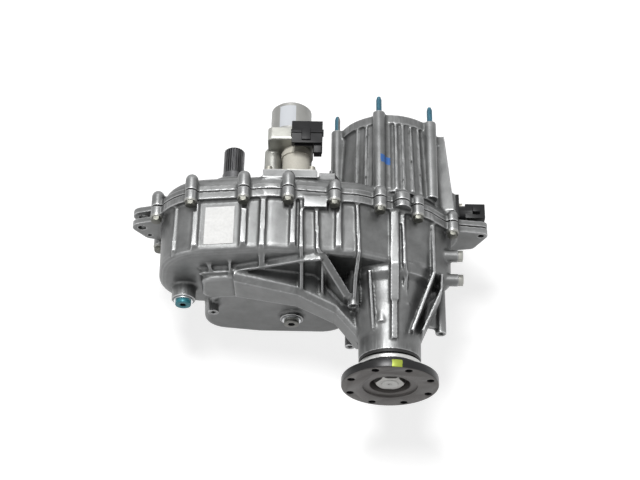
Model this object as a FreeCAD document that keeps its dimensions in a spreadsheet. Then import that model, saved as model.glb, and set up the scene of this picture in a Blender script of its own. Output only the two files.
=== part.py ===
import FreeCAD, Part
import Sketcher
import os
import re
from math import atan2, cos, pi, radians, sin, sqrt, tan
from FreeCAD import Placement, Rotation, Vector

# Two-speed transfer case, millimetres.
# Origin: centre of the gearbox face on the main axis.
# +Y runs forward along the main axis towards the gearbox, +X to the right, +Z up.

# Driving dimensions: alias, value, meaning
SIZES = [
    # Casting layout along the main axis
    ("face_to_joint", 152, "gearbox face back to the joint between the case halves"),
    ("joint_to_shoulder", 89, "joint back to the rear edge of the side wall"),
    ("joint_to_sump_end", 98, "joint back to the rear of the oil sump"),
    ("joint_to_front_wall", 29, "joint forward to the front wall's outer face"),
    ("face_to_neck_end", 355.4, "gearbox face back to the end of the rear neck"),
    ("face_to_flange", 393, "gearbox face back to the output flange face"),
    ("case_wall", 7, "cast wall"),
    ("flange_lip", 8, "joint flange beyond the side wall"),
    ("rear_lip_thick", 12, "joint flange on the rear half"),
    ("front_lip_thick", 9.5, "joint flange on the front half"),
    ("gasket_thick", 1.6, "sealing bead between the halves"),
    ("edge_round", 9, "rounding of the case's outer edges"),
    ("pan_round", 7, "rounding of the sump's rear edge"),
    ("rib_thick", 5, "cast rib"),
    ("fine_rib_thick", 3.6, "thin cast rib"),
    # Front output shaft against the main shaft
    ("front_axis_x", -225, "front output axis, across"),
    ("front_axis_z", 22, "front output axis, up"),
    # Outline of the joint flange as corner circles: across, up, radius
    ("right_x", 57, "right corner"),
    ("right_z", 0, "right corner"),
    ("right_r", 40, "right corner"),
    ("roof_x", 25, "right end of the roof"),
    ("roof_z", 24, "right end of the roof"),
    ("roof_r", 46, "right end of the roof"),
    ("mid_x", -60, "middle of the roof"),
    ("mid_z", 40, "middle of the roof"),
    ("mid_r", 62, "middle of the roof"),
    ("crown_x", -165, "crown of the roof"),
    ("crown_z", 50, "crown of the roof"),
    ("crown_r", 64, "crown of the roof"),
    ("left_x", -250, "upper left corner"),
    ("left_z", 22, "upper left corner"),
    ("left_r", 80, "upper left corner"),
    ("heel_x", -264, "lower left corner"),
    ("heel_z", -2, "lower left corner"),
    ("heel_r", 69, "lower left corner"),
    ("chamber_r", 76, "main chamber's share of the outline"),
    # Oil sump as corner circles
    ("sump_level", -146, "underside of the sump"),
    ("sump_left_x", -230, "sump's left corner"),
    ("sump_left_r", 44, "sump's left corner"),
    ("sump_mid_x", -182, "sump's middle corner"),
    ("sump_mid_r", 48, "sump's middle corner"),
    ("sump_right_x", -95, "sump's right corner"),
    ("sump_right_r", 50, "sump's right corner"),
    ("sump_rise", 8, "left corner above the sump's underside"),
    ("pan_right_x", -70, "upper right corner of the sump's raised rear wall"),
    ("pan_right_z", -62, "upper right corner of the sump's raised rear wall"),
    ("pan_right_r", 44, "upper right corner of the sump's raised rear wall"),
    ("pan_left_x", -216, "upper left corner of the sump's raised rear wall"),
    ("pan_left_z", -56, "upper left corner of the sump's raised rear wall"),
    ("pan_left_r", 52, "upper left corner of the sump's raised rear wall"),
    # Rear neck
    ("neck_r", 43, "neck at the seal"),
    ("neck_root_r", 47, "neck at the rear bearing"),
    ("dome_r", 68, "dome where it leaves the rear wall"),
    ("front_boss_wall", 6, "rear boss of the front output shaft, outside its bearing"),
    ("front_boss_depth", 106, "joint back to that boss's face"),
    ("ridge_rise", 9, "ridge along the rear wall, above the wall"),
    # Gearbox adapter
    ("adapter_wall", 7.5, "adapter barrel outside its bore"),
    ("adapter_rim_step", 4, "adapter rim beyond the barrel"),
    ("adapter_rim_len", 14, "adapter rim along the axis"),
    ("stud_circle", 158, "gearbox studs' pitch circle, diameter"),
    ("stud_count", 6, "gearbox studs"),
    ("stud_first_angle", 42, "first stud's angle from +X"),
    ("stud_diameter", 8, "gearbox stud"),
    ("stud_proud", 28, "stud beyond the gearbox face"),
    ("stud_depth", 22, "stud inside the casting"),
    ("stud_root_r", 3.4, "stud inside the casting, drawn at its thread's core"),
    ("stud_lug_r", 9.2, "cast lug round a stud"),
    ("stud_mouth_r", 5.4, "counterbore round a stud in the gearbox face"),
    ("stud_mouth_depth", 1.2, "counterbore round a stud in the gearbox face"),
    # Case bolts
    ("bolt_diameter", 8, "case bolt"),
    ("bolt_column_r", 9, "cast column round a case bolt"),
    ("bolt_column_len", 14.5, "joint back to the bolt seat"),
    ("column_long", 18, "joint forward to the round end of a column on the left"),
    ("column_short", 10, "the same beside the adapter"),
    ("bolt_head_len", 5.8, "bolt head"),
    ("bolt_washer_r", 9, "bolt's pressed washer"),
    ("bolt_washer_thick", 2.2, "bolt's pressed washer"),
    ("bolt_head_across", 13, "bolt head across flats"),
    ("bolt_grip", 13, "bolt in the front half"),
    ("bolt_stand_off", 3, "bolt axis outside the flange outline"),
    ("bolt_hole_gap", 0.3, "round the bolt in the rear half"),
    ("thread_gap", 0.02, "between a thread's two parts, drawn plain"),
    ("bolt_access", 0.8, "room round a bolt head"),
    # Output flange
    ("flange_thick", 12.5, "output flange"),
    ("flange_drum_r", 45.5, "drum behind the flange plate"),
    ("flange_drum_len", 12, "drum behind the flange plate"),
    ("deflector_r", 44, "dust deflector"),
    ("deflector_len", 6.5, "dust deflector along the hub"),
    ("flange_hub_r", 30, "flange hub in the seal"),
    ("flange_hub_len", 40, "flange hub from the flange's front face"),
    ("flange_circle", 115, "output flange bolt circle, diameter"),
    ("flange_edge", 8.5, "output flange beyond its bolt circle"),
    ("flange_hole", 10.2, "output flange holes, diameter"),
    ("flange_hole_count", 8, "output flange holes"),
    ("pilot_r", 37, "pilot recess in the flange face"),
    ("pilot_depth", 3, "pilot recess in the flange face"),
    ("nut_well_r", 27.7, "well round the flange nut"),
    ("nut_well_depth", 15.5, "well round the flange nut, from the face"),
    ("nut_across", 36, "flange nut across flats"),
    ("nut_height", 11, "flange nut"),
    ("nut_washer_r", 20, "flange nut's collar"),
    # Main shaft
    ("shaft_end_r", 11.5, "threaded end in the nut"),
    ("shaft_end_depth", 3.6, "thread end inside the flange face"),
    ("shaft_flange_r", 15, "shaft in the flange"),
    ("bearing_seat_r", 17.5, "bearing seats"),
    ("shaft_body_r", 20, "shaft through the sprocket"),
    ("range_hub_r", 24, "splined hub under the range sleeve"),
    ("nose_r", 11, "pilot nose in the input shaft"),
    ("running_gap", 0.05, "radial clearance of a running fit"),
    ("clear_gap", 0.3, "gap between moving pieces"),
    # Ball bearings
    ("race_thick", 5, "bearing race"),
    ("ball_r", 4.9, "bearing ball"),
    ("ball_gap", 0.1, "ball to race"),
    ("bearing_width", 16, "rear and front output bearings"),
    ("ball_count", 10, "balls in a bearing"),
    ("rear_bearing_y", -290, "front face of the rear bearing"),
    ("front_bearing_y", -128, "rear face of the front output bearing"),
    ("input_bearing_y", -70, "rear face of the input bearing"),
    ("input_journal_r", 26, "input shaft in its bearing"),
    # Planetary reduction
    ("gear_module", 2.25, "planetary gears"),
    ("sun_teeth", 24, "sun gear"),
    ("planet_teeth", 12, "planet gear"),
    ("planet_count", 4, "planet gears"),
    ("planet_width", 22, "planet gear"),
    ("planet_rear_y", -106, "rear face of the planets"),
    ("planet_pin_r", 5, "planet pin"),
    ("carrier_plate", 5.4, "carrier plate"),
    ("carrier_r", 50, "carrier plate radius"),
    ("ring_rim", 5.3, "ring gear outside its tooth roots"),
    ("ring_gap", 1.5, "ring gear to the bore of the adapter"),
    ("tooth_backlash", 0.16, "clearance on each tooth's flank"),
    # Range selection
    ("sleeve_rear_y", -158, "rear end of the range sleeve in high range"),
    ("sleeve_len", 34, "range sleeve"),
    ("sleeve_wall", 5, "range sleeve"),
    ("fork_y", -150, "rear face of the fork in high range"),
    ("fork_thick", 6, "range fork"),
    ("collar_r", 35, "sleeve collars beside the fork"),
    ("rail_x", -64, "shift rail"),
    ("rail_z", 34, "shift rail"),
    ("rail_r", 6, "shift rail"),
    # Chain drive
    ("chain_pitch", 9.525, "silent chain pitch"),
    ("sprocket_teeth", 35, "both sprockets"),
    ("sprocket_width", 28, "both sprockets"),
    ("sprocket_rear_y", -200, "rear face of the sprockets"),
    ("tooth_height", 5, "sprocket tooth"),
    ("chain_thick", 7, "chain outside the teeth"),
    ("chain_gap", 0.5, "teeth to chain"),
    # Clutch
    ("drum_step", 2.87, "clutch drum beyond the sprocket's pitch circle"),
    ("drum_room", 4, "clutch drum to the chamber round it"),
    ("drum_wall", 4, "clutch drum"),
    ("drum_rear_y", -228, "rear edge of the drum"),
    ("hub_r", 33, "clutch hub"),
    ("plate_count", 4, "pairs of clutch plates"),
    ("plate_thick", 1.6, "clutch plate"),
    ("plate_front_y", -210, "front face of the first plate"),
    ("pressure_plate_rear_y", -231, "rear face of the pressure plate"),
    ("pressure_plate_thick", 4, "pressure plate"),
    ("ramp_ring_thick", 6, "turning ring of the ball ramp"),
    ("ramp_ring_rear_y", -240, "rear face of the turning ring"),
    ("ramp_base_thick", 7, "fixed ring of the ball ramp"),
    # Oil pump
    ("pump_r", 40, "oil pump housing"),
    ("pump_len", 14, "oil pump housing"),
    ("pump_rotor_r", 30, "oil pump rotor"),
    # Front output
    ("front_neck_r", 44, "front output neck at the bearing"),
    ("front_neck_end_r", 33, "front output neck at the seal"),
    ("front_neck_y", -97, "front end of the front output neck"),
    ("front_shaft_tip_y", -35, "tip of the splined end"),
    ("front_spline_r", 15, "splined end"),
    ("front_seal_r", 26, "front output seal"),
    ("needle_r", 16, "rear journal of the front output shaft"),
    ("needle_wall", 4, "needle bearing"),
    ("needle_len", 18, "needle bearing"),
    # Shift motor
    ("motor_x", -142, "shift motor axis"),
    ("motor_z", 74, "shift motor axis"),
    ("motor_r", 28.7, "motor can"),
    ("motor_front_y", 2, "domed end of the can"),
    ("motor_rear_y", -46, "can's seat on the gear housing"),
    ("gearhead_rear_y", -66, "rear of the motor gear housing's upper part"),
    ("gearhead_half", 32, "motor gear housing, half its width"),
    ("gearhead_corner", 8, "motor gear housing's corners"),
    ("selector_x", -133, "selector cam's axis"),
    ("selector_z", 70, "selector cam's axis"),
    ("sensor_r", 20, "position sensor housing"),
    ("cam_r", 18, "selector cam"),
    ("cam_shaft_r", 7, "selector cam's shaft"),
    # Plugs
    ("plug_x", -288, "fill plug"),
    ("plug_z", -12, "fill plug"),
    ("plug_boss_r", 17, "boss round an oil plug"),
    ("plug_boss_y", -262, "face of the fill plug's boss"),
    ("plug_r", 9, "oil plug thread"),
    ("plug_head_r", 11, "oil plug head"),
    ("side_boss_x", 96, "face of the two bosses on the right wall"),
    ("side_plug_r", 6, "plug in those bosses, thread"),
    ("side_plug_across", 14, "plug in those bosses, across flats"),
    ("vent_x", -189, "vent on the front wall"),
    ("vent_z", 60, "vent on the front wall"),
    # Hanger ear and side bracket
    ("ear_x", -350, "left ear's hole"),
    ("ear_z", 21, "left ear's hole"),
    ("ear_r", 14, "left ear round its hole"),
    ("ear_hole", 11, "left ear's hole, diameter"),
    ("ear_thick", 9, "each plate of the ear"),
    ("ear_slot", 7, "slot between the ear's plates"),
    ("post_r", 8, "rear posts"),
    ("post_hole", 6.8, "threaded holes in the rear posts, diameter"),
]

doc = FreeCAD.newDocument("transfer_case")
sheet = doc.addObject("Spreadsheet::Sheet", "Sizes")
for row, (alias, value, meaning) in enumerate(SIZES, 1):
    sheet.set(f"A{row}", meaning)
    sheet.set(f"B{row}", str(value))
    sheet.setAlias(f"B{row}", alias)
doc.recompute()

ALIASES = {alias for alias, value, meaning in SIZES}
pieces = []


def full(expression):
    """An expression with the sheet's name before each alias."""
    named = lambda word: "Sizes." + word.group() if word.group() in ALIASES else word.group()
    return re.sub(r"[a-z][a-z0-9_]*", named, str(expression))


def num(expression):
    """The number that an expression of aliases gives."""
    return float(sheet.evalExpression(full(expression)))


def bind(item, **properties):
    """Tie properties to expressions; two underscores stand for a dot."""
    for name, expression in properties.items():
        item.setExpression(name.replace("__", "."), full(expression))
    return item


def keep(item, label):
    """Name a finished sub-part and list it for export."""
    item.Label = label
    pieces.append(item)
    return item


def add_feature(label, shape):
    """A sub-part whose shape is worked out here from the sheet."""
    item = doc.addObject("Part::Feature", label)
    place = shape.Placement
    item.Shape = shape
    item.Placement = place
    return keep(item, label)


def rod(name, radius, start, end, x="0", z="0"):
    """Cylinder along Y from start to end, bound to the sheet."""
    item = doc.addObject("Part::Cylinder", name)
    item.Placement = Placement(Vector(), Rotation(Vector(1, 0, 0), -90))
    bind(item, Radius=radius, Height=f"({end}) - ({start})")
    return bind(item, Placement__Base__x=x, Placement__Base__y=start, Placement__Base__z=z)


def joined(name, items):
    """One bound object from several."""
    if len(items) == 1:
        return items[0]
    union = doc.addObject("Part::MultiFuse", name)
    union.Shapes = items
    union.Refine = True
    return union


def turned_solid(label, steps, bores=(), x="0", z="0"):
    """Outer steps less bores, each (radius, start, end) along Y, bound to the sheet."""
    solids = [rod(f"{label}_step{i}", *step, x, z) for i, step in enumerate(steps)]
    body = joined(f"{label}_solid", solids)
    if bores:
        holes = [rod(f"{label}_bore{i}", *bore, x, z) for i, bore in enumerate(bores)]
        cut = doc.addObject("Part::Cut", f"{label}_cut")
        cut.Base = body
        cut.Tool = joined(f"{label}_bores", holes)
        cut.Refine = True
        body = cut
    return body


def turned(label, steps, bores=(), x="0", z="0"):
    """A turned sub-part of its own."""
    return keep(turned_solid(label, steps, bores, x, z), label)


# Shapes worked out from the sheet


def tube_y(outer, inner, y0, y1, x=0.0, z=0.0):
    """Ring or disc along Y, from y0 to y1."""
    solid = Part.makeCylinder(outer, y1 - y0, Vector(x, y0, z), Vector(0, 1, 0))
    if inner:
        solid = solid.cut(Part.makeCylinder(inner, y1 - y0, Vector(x, y0, z), Vector(0, 1, 0)))
    return solid


def cone_y(r0, r1, y0, y1, x=0.0, z=0.0):
    """Cone along Y with radius r0 at y0 and r1 at y1."""
    return Part.makeCone(r0, r1, y1 - y0, Vector(x, y0, z), Vector(0, 1, 0))


def block(x0, x1, y0, y1, z0, z1):
    """Box between two corners."""
    return Part.makeBox(x1 - x0, y1 - y0, z1 - z0, Vector(x0, y0, z0))


def belt(circles, y, offset=0.0):
    """Wire round a convex run of circles (x, z, radius), anticlockwise seen from behind."""
    corners = []
    count = len(circles)
    for i in range(count):
        x1, z1, r1 = circles[i]
        x2, z2, r2 = circles[(i + 1) % count]
        length = sqrt((x2 - x1) ** 2 + (z2 - z1) ** 2)
        ux, uz = (x2 - x1) / length, (z2 - z1) / length
        along = (r1 - r2) / length
        across = sqrt(1 - along ** 2)
        normal = (along * ux + across * uz, along * uz - across * ux)
        corners.append(normal)
    edges = []
    for i in range(count):
        x, z, r = circles[i]
        r += offset
        n_in, n_out = corners[i - 1], corners[i]
        start = Vector(x + r * n_in[0], y, z + r * n_in[1])
        end = Vector(x + r * n_out[0], y, z + r * n_out[1])
        turn = (atan2(n_out[1], n_out[0]) - atan2(n_in[1], n_in[0])) % (2 * pi)
        middle = atan2(n_in[1], n_in[0]) + turn / 2
        edges.append(Part.Arc(start, Vector(x + r * cos(middle), y, z + r * sin(middle)), end).toShape())
        x2, z2, r2 = circles[(i + 1) % count]
        r2 += offset
        following = Vector(x2 + r2 * n_out[0], y, z2 + r2 * n_out[1])
        edges.append(Part.LineSegment(end, following).toShape())
    return Part.Wire(edges)


def belt_slab(circles, y0, y1, offset0=0.0, offset1=None):
    """Solid between two belts of the same circles, from y0 to y1."""
    if offset1 is None or offset1 == offset0:
        return Part.Face(belt(circles, y0, offset0)).extrude(Vector(0, y1 - y0, 0))
    return Part.makeLoft([belt(circles, y0, offset0), belt(circles, y1, offset1)], True, True)


def rounded_slab(circles, end_y, open_y, offset, taper, edge_r):
    """Belt slab whose end at end_y is smaller by taper and has its edge rounded in flats."""
    side = 1 if open_y > end_y else -1
    stations = [(open_y, offset)]
    for angle in (90, 60, 30, 0):
        turn = radians(angle)
        stations.append((end_y + side * edge_r * (1 - cos(turn)), offset - taper - edge_r * (1 - sin(turn))))
    spans = [sorted(pair) for pair in zip(stations, stations[1:])]
    return [belt_slab(circles, y0, y1, offset0, offset1) for (y0, offset0), (y1, offset1) in spans]


def beam(sections, front_y, corner):
    """Arm through sections (x, rear y, low z, high z), its rear corners cut."""
    outlines = []
    for x, y, low, high in sections:
        points = [(front_y, low), (y + corner, low), (y, low + corner), (y, high - corner),
                  (y + corner, high), (front_y, high), (front_y, low)]
        outlines.append(Part.makePolygon([Vector(x, across, up) for across, up in points]))
    spans = [Part.makeLoft(list(pair), True, True) for pair in zip(outlines, outlines[1:])]
    return spans[0].fuse(spans[1:])


def hexagon(across, middle, direction, length):
    """Hexagonal prism along a direction, from the middle of its first face."""
    corner_r = across / sqrt(3)
    corners = [Vector(corner_r * cos(pi / 3 * i), corner_r * sin(pi / 3 * i), 0) for i in range(7)]
    prism = Part.Face(Part.makePolygon(corners)).extrude(Vector(0, 0, length))
    prism.Placement = Placement(middle, Rotation(Vector(0, 0, 1), direction))
    return prism


def rib(points, thick, low):
    """Upright plate through points (x, y, top), down to the level low."""
    def section(x, y, top):
        half = thick / 2
        corners = [(x - half, low), (x + half, low), (x + half, top), (x - half, top), (x - half, low)]
        return Part.makePolygon([Vector(px, y, pz) for px, pz in corners])
    spans = [Part.makeLoft([section(*a), section(*b)], True, True) for a, b in zip(points, points[1:])]
    return spans[0].fuse(spans[1:]) if len(spans) > 1 else spans[0]


def gear(teeth, module, y0, y1, bore, phase=0.0, thinned=0.0, tip=0.9, root=1.2):
    """Spur gear along Y with straight-flanked teeth; phase in degrees, tip and root in modules."""
    pitch_r = teeth * module / 2
    root_r, tip_r = pitch_r - root * module, pitch_r + tip * module
    half_pitch = pi * module / 4 - thinned
    slope = tan(radians(20))
    half_root = half_pitch + slope * root * module * 0.55
    half_tip = half_pitch - slope * tip * module
    points = []
    for i in range(teeth):
        middle = radians(phase) + 2 * pi * i / teeth
        for radius, half in ((root_r, -half_root), (tip_r, -half_tip), (tip_r, half_tip), (root_r, half_root)):
            angle = middle + half / radius
            points.append(Vector(radius * cos(angle), y0, radius * sin(angle)))
    solid = Part.Face(Part.makePolygon(points + points[:1])).extrude(Vector(0, y1 - y0, 0))
    if bore:
        solid = solid.cut(Part.makeCylinder(bore, y1 - y0, Vector(0, y0, 0), Vector(0, 1, 0)))
    return solid


def ball_ring(pitch_r, middle_y, x=0.0, z=0.0):
    """The balls of one bearing."""
    count = int(num("ball_count"))
    places = [2 * pi * i / count for i in range(count)]
    centres = [Vector(x + pitch_r * cos(a), middle_y, z + pitch_r * sin(a)) for a in places]
    return [Part.makeSphere(num("ball_r"), centre) for centre in centres]


def united(solids):
    """One clean solid from overlapping ones."""
    return solids[0].fuse(solids[1:]).removeSplitter()


# Planetary reduction, and the adapter that has to clear it
module = num("gear_module")
sun_teeth, planet_teeth = int(num("sun_teeth")), int(num("planet_teeth"))
ring_teeth = sun_teeth + 2 * planet_teeth
ring_root = 1.2
ring_outer_r = (ring_teeth / 2 + ring_root) * module + num("ring_rim")
adapter_bore_r = ring_outer_r + num("ring_gap")
adapter_r = adapter_bore_r + num("adapter_wall")
adapter_rim_r = adapter_r + num("adapter_rim_step")
planet_orbit = (sun_teeth + planet_teeth) * module / 2
planet_y0 = num("planet_rear_y")
planet_y1 = planet_y0 + num("planet_width")
backlash = num("tooth_backlash")
gap = num("clear_gap")
thread_gap = num("thread_gap")

# Sprockets, and the clutch drum that is one piece with the rear one
sprocket_teeth = int(num("sprocket_teeth"))
sprocket_r = num("chain_pitch") / (2 * sin(pi / sprocket_teeth))
drum_r = sprocket_r + num("drum_step")

# Places shared by the castings and what is fixed to them
joint_y = -num("face_to_joint")
half_gasket = num("gasket_thick") / 2
rear_joint_y = joint_y - half_gasket
front_joint_y = joint_y + half_gasket
shoulder_y = joint_y - num("joint_to_shoulder")
sump_end_y = joint_y - num("joint_to_sump_end")
front_wall_y = joint_y + num("joint_to_front_wall")
neck_end_y = -num("face_to_neck_end")
lip = num("flange_lip")
wall = num("case_wall")
front_x, front_z = num("front_axis_x"), num("front_axis_z")

CHAMBER = (0.0, -2.0, num("chamber_r"))
corner_circle = lambda place: tuple(num(f"{place}_{axis}") for axis in "xzr")
CASE_BELT = [corner_circle(place) for place in ("right", "roof", "mid", "crown", "left", "heel")] + [CHAMBER]
sump_level = num("sump_level")
sump_corner = lambda place, rise: (
    num(f"sump_{place}_x"), sump_level + num(f"sump_{place}_r") + rise, num(f"sump_{place}_r"))
SUMP_BELT = [
    CHAMBER,
    (num("mid_x") - 40, num("mid_z") - 20, num("mid_r") - 4),
    (num("sump_left_x"), -20, num("sump_left_r")),
    sump_corner("left", num("sump_rise")),
    sump_corner("mid", 0),
    sump_corner("right", 0),
]
PAN_BELT = [corner_circle("pan_right"), corner_circle("pan_left")] + SUMP_BELT[3:]

# Case bolt angles about the middle of the joint flange
BOLT_ANGLES = (7.8, 25, 43, 71.5, 103.4, 128.2, 148, 165.5, 188, 214, 236, 262, 290, 318, 344)
DOWEL_ANGLES = (87, 275)
bolt_centre_x = front_x / 2 - 2.5


def outline_point(angle, outward=0.0):
    """Where a ray from the flange's middle crosses the joint outline, moved outward."""
    reach = 400
    a = radians(angle)
    ray = Part.LineSegment(Vector(bolt_centre_x, 0, 0),
                           Vector(bolt_centre_x + reach * cos(a), 0, reach * sin(a))).toShape()
    found = [ray.distToShape(belt(circles, 0.0)) for circles in (CASE_BELT, SUMP_BELT)]
    crossings = [pair[0] for distance, pairs, info in found if distance < 1e-6 for pair in pairs]
    radius = max((point - Vector(bolt_centre_x, 0, 0)).Length for point in crossings) + outward
    return bolt_centre_x + radius * cos(a), radius * sin(a)


bolt_places = [outline_point(angle, num("bolt_stand_off")) for angle in BOLT_ANGLES]
lowest_bolt_z = sump_level + num("bolt_column_r")
bolt_places = [(x, max(z, lowest_bolt_z)) for x, z in bolt_places]
dowel_places = [outline_point(angle, -lip / 2 - 2.5) for angle in DOWEL_ANGLES]
stud_angles = [num("stud_first_angle") + i * 360 / num("stud_count") for i in range(int(num("stud_count")))]
stud_places = [(num("stud_circle") / 2 * cos(radians(a)), num("stud_circle") / 2 * sin(radians(a)))
               for a in stud_angles]
bolt_seat_y = joint_y - num("bolt_column_len")
body_offset = -lip
inner_offset = -lip - wall
chamber_bore_r = drum_r + num("drum_room")
bearing_bore_r = num("bearing_seat_r") + 4 * num("race_thick")
rear_bearing_front = num("rear_bearing_y")
rear_bearing_rear = rear_bearing_front - num("bearing_width")
seal_front_y = neck_end_y + 12
front_bearing_rear = num("front_bearing_y")
front_bearing_front = front_bearing_rear + num("bearing_width")
post_r = num("post_r")
bush_place = outline_point(32, 4)
side_boss_x = num("side_boss_x")


def wall_top(x):
    """Height of the side wall's outer face at x, on the upper side."""
    line = Part.LineSegment(Vector(x, 0, 300), Vector(x, 0, 0)).toShape()
    distance, pairs, info = line.distToShape(belt(CASE_BELT, 0.0, body_offset))
    return max(pair[0].z for pair in pairs)


# Rear half of the case: side wall, sump, dome, neck, bosses and ribs in one casting


def rear_case():
    lip_end = joint_y - num("rear_lip_thick")
    edge_r = num("edge_round")
    rib_t, fine_t = num("rib_thick"), num("fine_rib_thick")
    into_wall = shoulder_y + 5
    solids = [belt_slab(CASE_BELT, lip_end, rear_joint_y), belt_slab(SUMP_BELT, lip_end, rear_joint_y)]
    solids += rounded_slab(CASE_BELT, shoulder_y, lip_end, body_offset, 2, edge_r)
    solids += rounded_slab(SUMP_BELT, shoulder_y, lip_end, body_offset, 2, edge_r)
    solids += rounded_slab(PAN_BELT, sump_end_y, shoulder_y + 12, body_offset - 1, 1, num("pan_round"))
    # Dome and neck as cones down to the seal
    dome = [(num("dome_r"), into_wall), (66, -250), (57, -258), (54.5, -272), (50, -290),
            (num("neck_root_r"), -307), (num("neck_r"), -330)]
    for (r1, y1), (r0, y0) in zip(dome, dome[1:]):
        solids.append(cone_y(r0, r1, y0, y1))
    solids.append(tube_y(num("neck_r"), 0, neck_end_y, -329))
    # Front shaft's boss, the arm from it to the dome, and the ridge along the rear wall
    half = num("needle_r") + num("needle_wall") + num("front_boss_wall") - 14
    boss = [(front_x + half, front_z + half, 14), (front_x - 21, front_z + 8, 14),
            (front_x - 22, front_z - 19, 14), (front_x + half, front_z - 16, 14)]
    solids += rounded_slab(boss, joint_y - num("front_boss_depth"), into_wall, 0, 0, 4)
    arm = [(-215, -262, -6, 56), (-128, -272, -14, 38), (-75, -292, -26, 24), (-45, -322, -44, 12),
           (-20, -326, -34, 6)]
    solids.append(beam(arm, into_wall, 8))
    ridge = [(-260, 44), (-218, 50), (-176, 66), (-124, 86), (-98, 91)]
    for (x0, z0), (x1, z1) in zip(ridge, ridge[1:]):
        solids.append(belt_slab([(x0, z0, 3), (x1, z1, 3)], shoulder_y - num("ridge_rise"), into_wall))
    # Bosses: fill plug, drain plug, rear posts with their webs, and two stubs on the dome
    solids.append(tube_y(num("plug_boss_r"), 0, num("plug_boss_y"), shoulder_y + 12, *fill_place))
    solids.append(tube_y(num("plug_boss_r"), 0, sump_end_y - 6, sump_end_y + 12, *drain_place))
    for x, y, z in POSTS:
        solids.append(tube_y(post_r, 0, y, shoulder_y + 20, x, z))
    solids.append(belt_slab([(73, -22, 3.5), (38, -12, 3.5)], -296, into_wall))
    solids.append(belt_slab([(-52, -76, 3.5), (-30, -38, 3.5)], -286, into_wall))
    solids.append(tube_y(8.5, 0, -316, into_wall, -12, 38))
    solids.append(tube_y(7.5, 0, -290, into_wall, 19.5, 39))
    for y, z in SIDE_BOSSES:
        solids.append(Part.makeCylinder(9, side_boss_x - 70, Vector(70, y, z), Vector(1, 0, 0)))
    # Flange pad between two bolts and the thick dowel bush
    pad_top = wall_top(-105) + lip
    solids.append(block(-121, -89, -178, lip_end + 4, pad_top - 26, pad_top + 3))
    solids.append(tube_y(12, 0, joint_y - 10, rear_joint_y, *bush_place))
    # Ribs on the side wall that end before its rear edge: across, height, thickness
    for x, height, thick in ((-297, 3, 4), (-268, 4, 8), (-202, 5, 8), (-135, 5, 8), (-73, 5, 8)):
        top = wall_top(x)
        solids.append(rib([(x, lip_end + 2, top + height), (x, shoulder_y + 10, top + height - 2),
                           (x, shoulder_y + 3, top - 6)], thick, top - 30))
    # Ribs that run on over the rear edge: points, thickness, foot
    crown = lambda x, rise=3: wall_top(x) + rise
    runs = [
        ([(-176, lip_end + 2, crown(-176, 5)), (-176, shoulder_y + 4, crown(-176)), (-176, -250, 66)], 8, 60),
        ([(-124, lip_end + 2, crown(-124, 5)), (-123, shoulder_y + 4, crown(-124)), (-122, -250, 86),
          (-122, -272, 22)], rib_t, 10),
        ([(-104, lip_end + 2, crown(-104, 5)), (-101, shoulder_y + 4, crown(-104)), (-97, -243, 98)], rib_t, 60),
        ([(-97, shoulder_y, 98), (-58, -280, 44)], 12, 10),
        ([(-94, -246, 88), (-93, -278, 13)], fine_t, 5),
        ([(-48, lip_end + 2, crown(-48, 5)), (-45, shoulder_y + 3, crown(-48)), (-49, -262, 68), (-50, -289, 42)],
         rib_t, 10),
        ([(4, lip_end + 2, crown(4, 8)), (4, shoulder_y - 2, crown(4, 2)), (4, -290, 60)], 11.5, 0),
        ([(4, -289, 60), (4, -342, 46.5)], 8, 0),
        ([(16, lip_end + 2, crown(16, 6)), (18, shoulder_y, crown(16)), (20, -254, 60), (19, -289, 44)], fine_t + 1, 10),
        ([(60, lip_end + 2, crown(60, 5)), (59, -245, 54), (28, -330, 48)], fine_t + 1, 0),
        ([(72, into_wall, 34), (70, -262, 36), (43, -325, 36)], fine_t, -2),
        ([(-30, -250, 68), (-24, -325, 40)], fine_t, 5),
        ([(-253, shoulder_y + 8, 76), (-244, -253, 40)], fine_t + 1, 34),
        ([(-220, shoulder_y + 8, 90), (-220, -253, 46)], fine_t, 40),
    ]
    for points, thick, low in runs:
        solids.append(rib(points, thick, low))
    # Plain ribs under the dome
    for angle in (200, 235, 270, 305, 340):
        fin = rib([(0, into_wall, 72), (0, -262, 60), (0, -332, 45)], rib_t, 20)
        fin.rotate(Vector(0, 0, 0), Vector(0, 1, 0), 90 - angle)
        solids.append(fin)
    # Ears on the left and the bracket lug on the right
    solids.append(ear_plate(rear_joint_y - num("ear_slot") / 2 - num("ear_thick"), num("ear_thick")))
    solids.append(side_lug(rear_joint_y - 10, 10))
    casting = solids[0]
    for solid in solids[1:]:
        casting = casting.fuse(solid)
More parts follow.
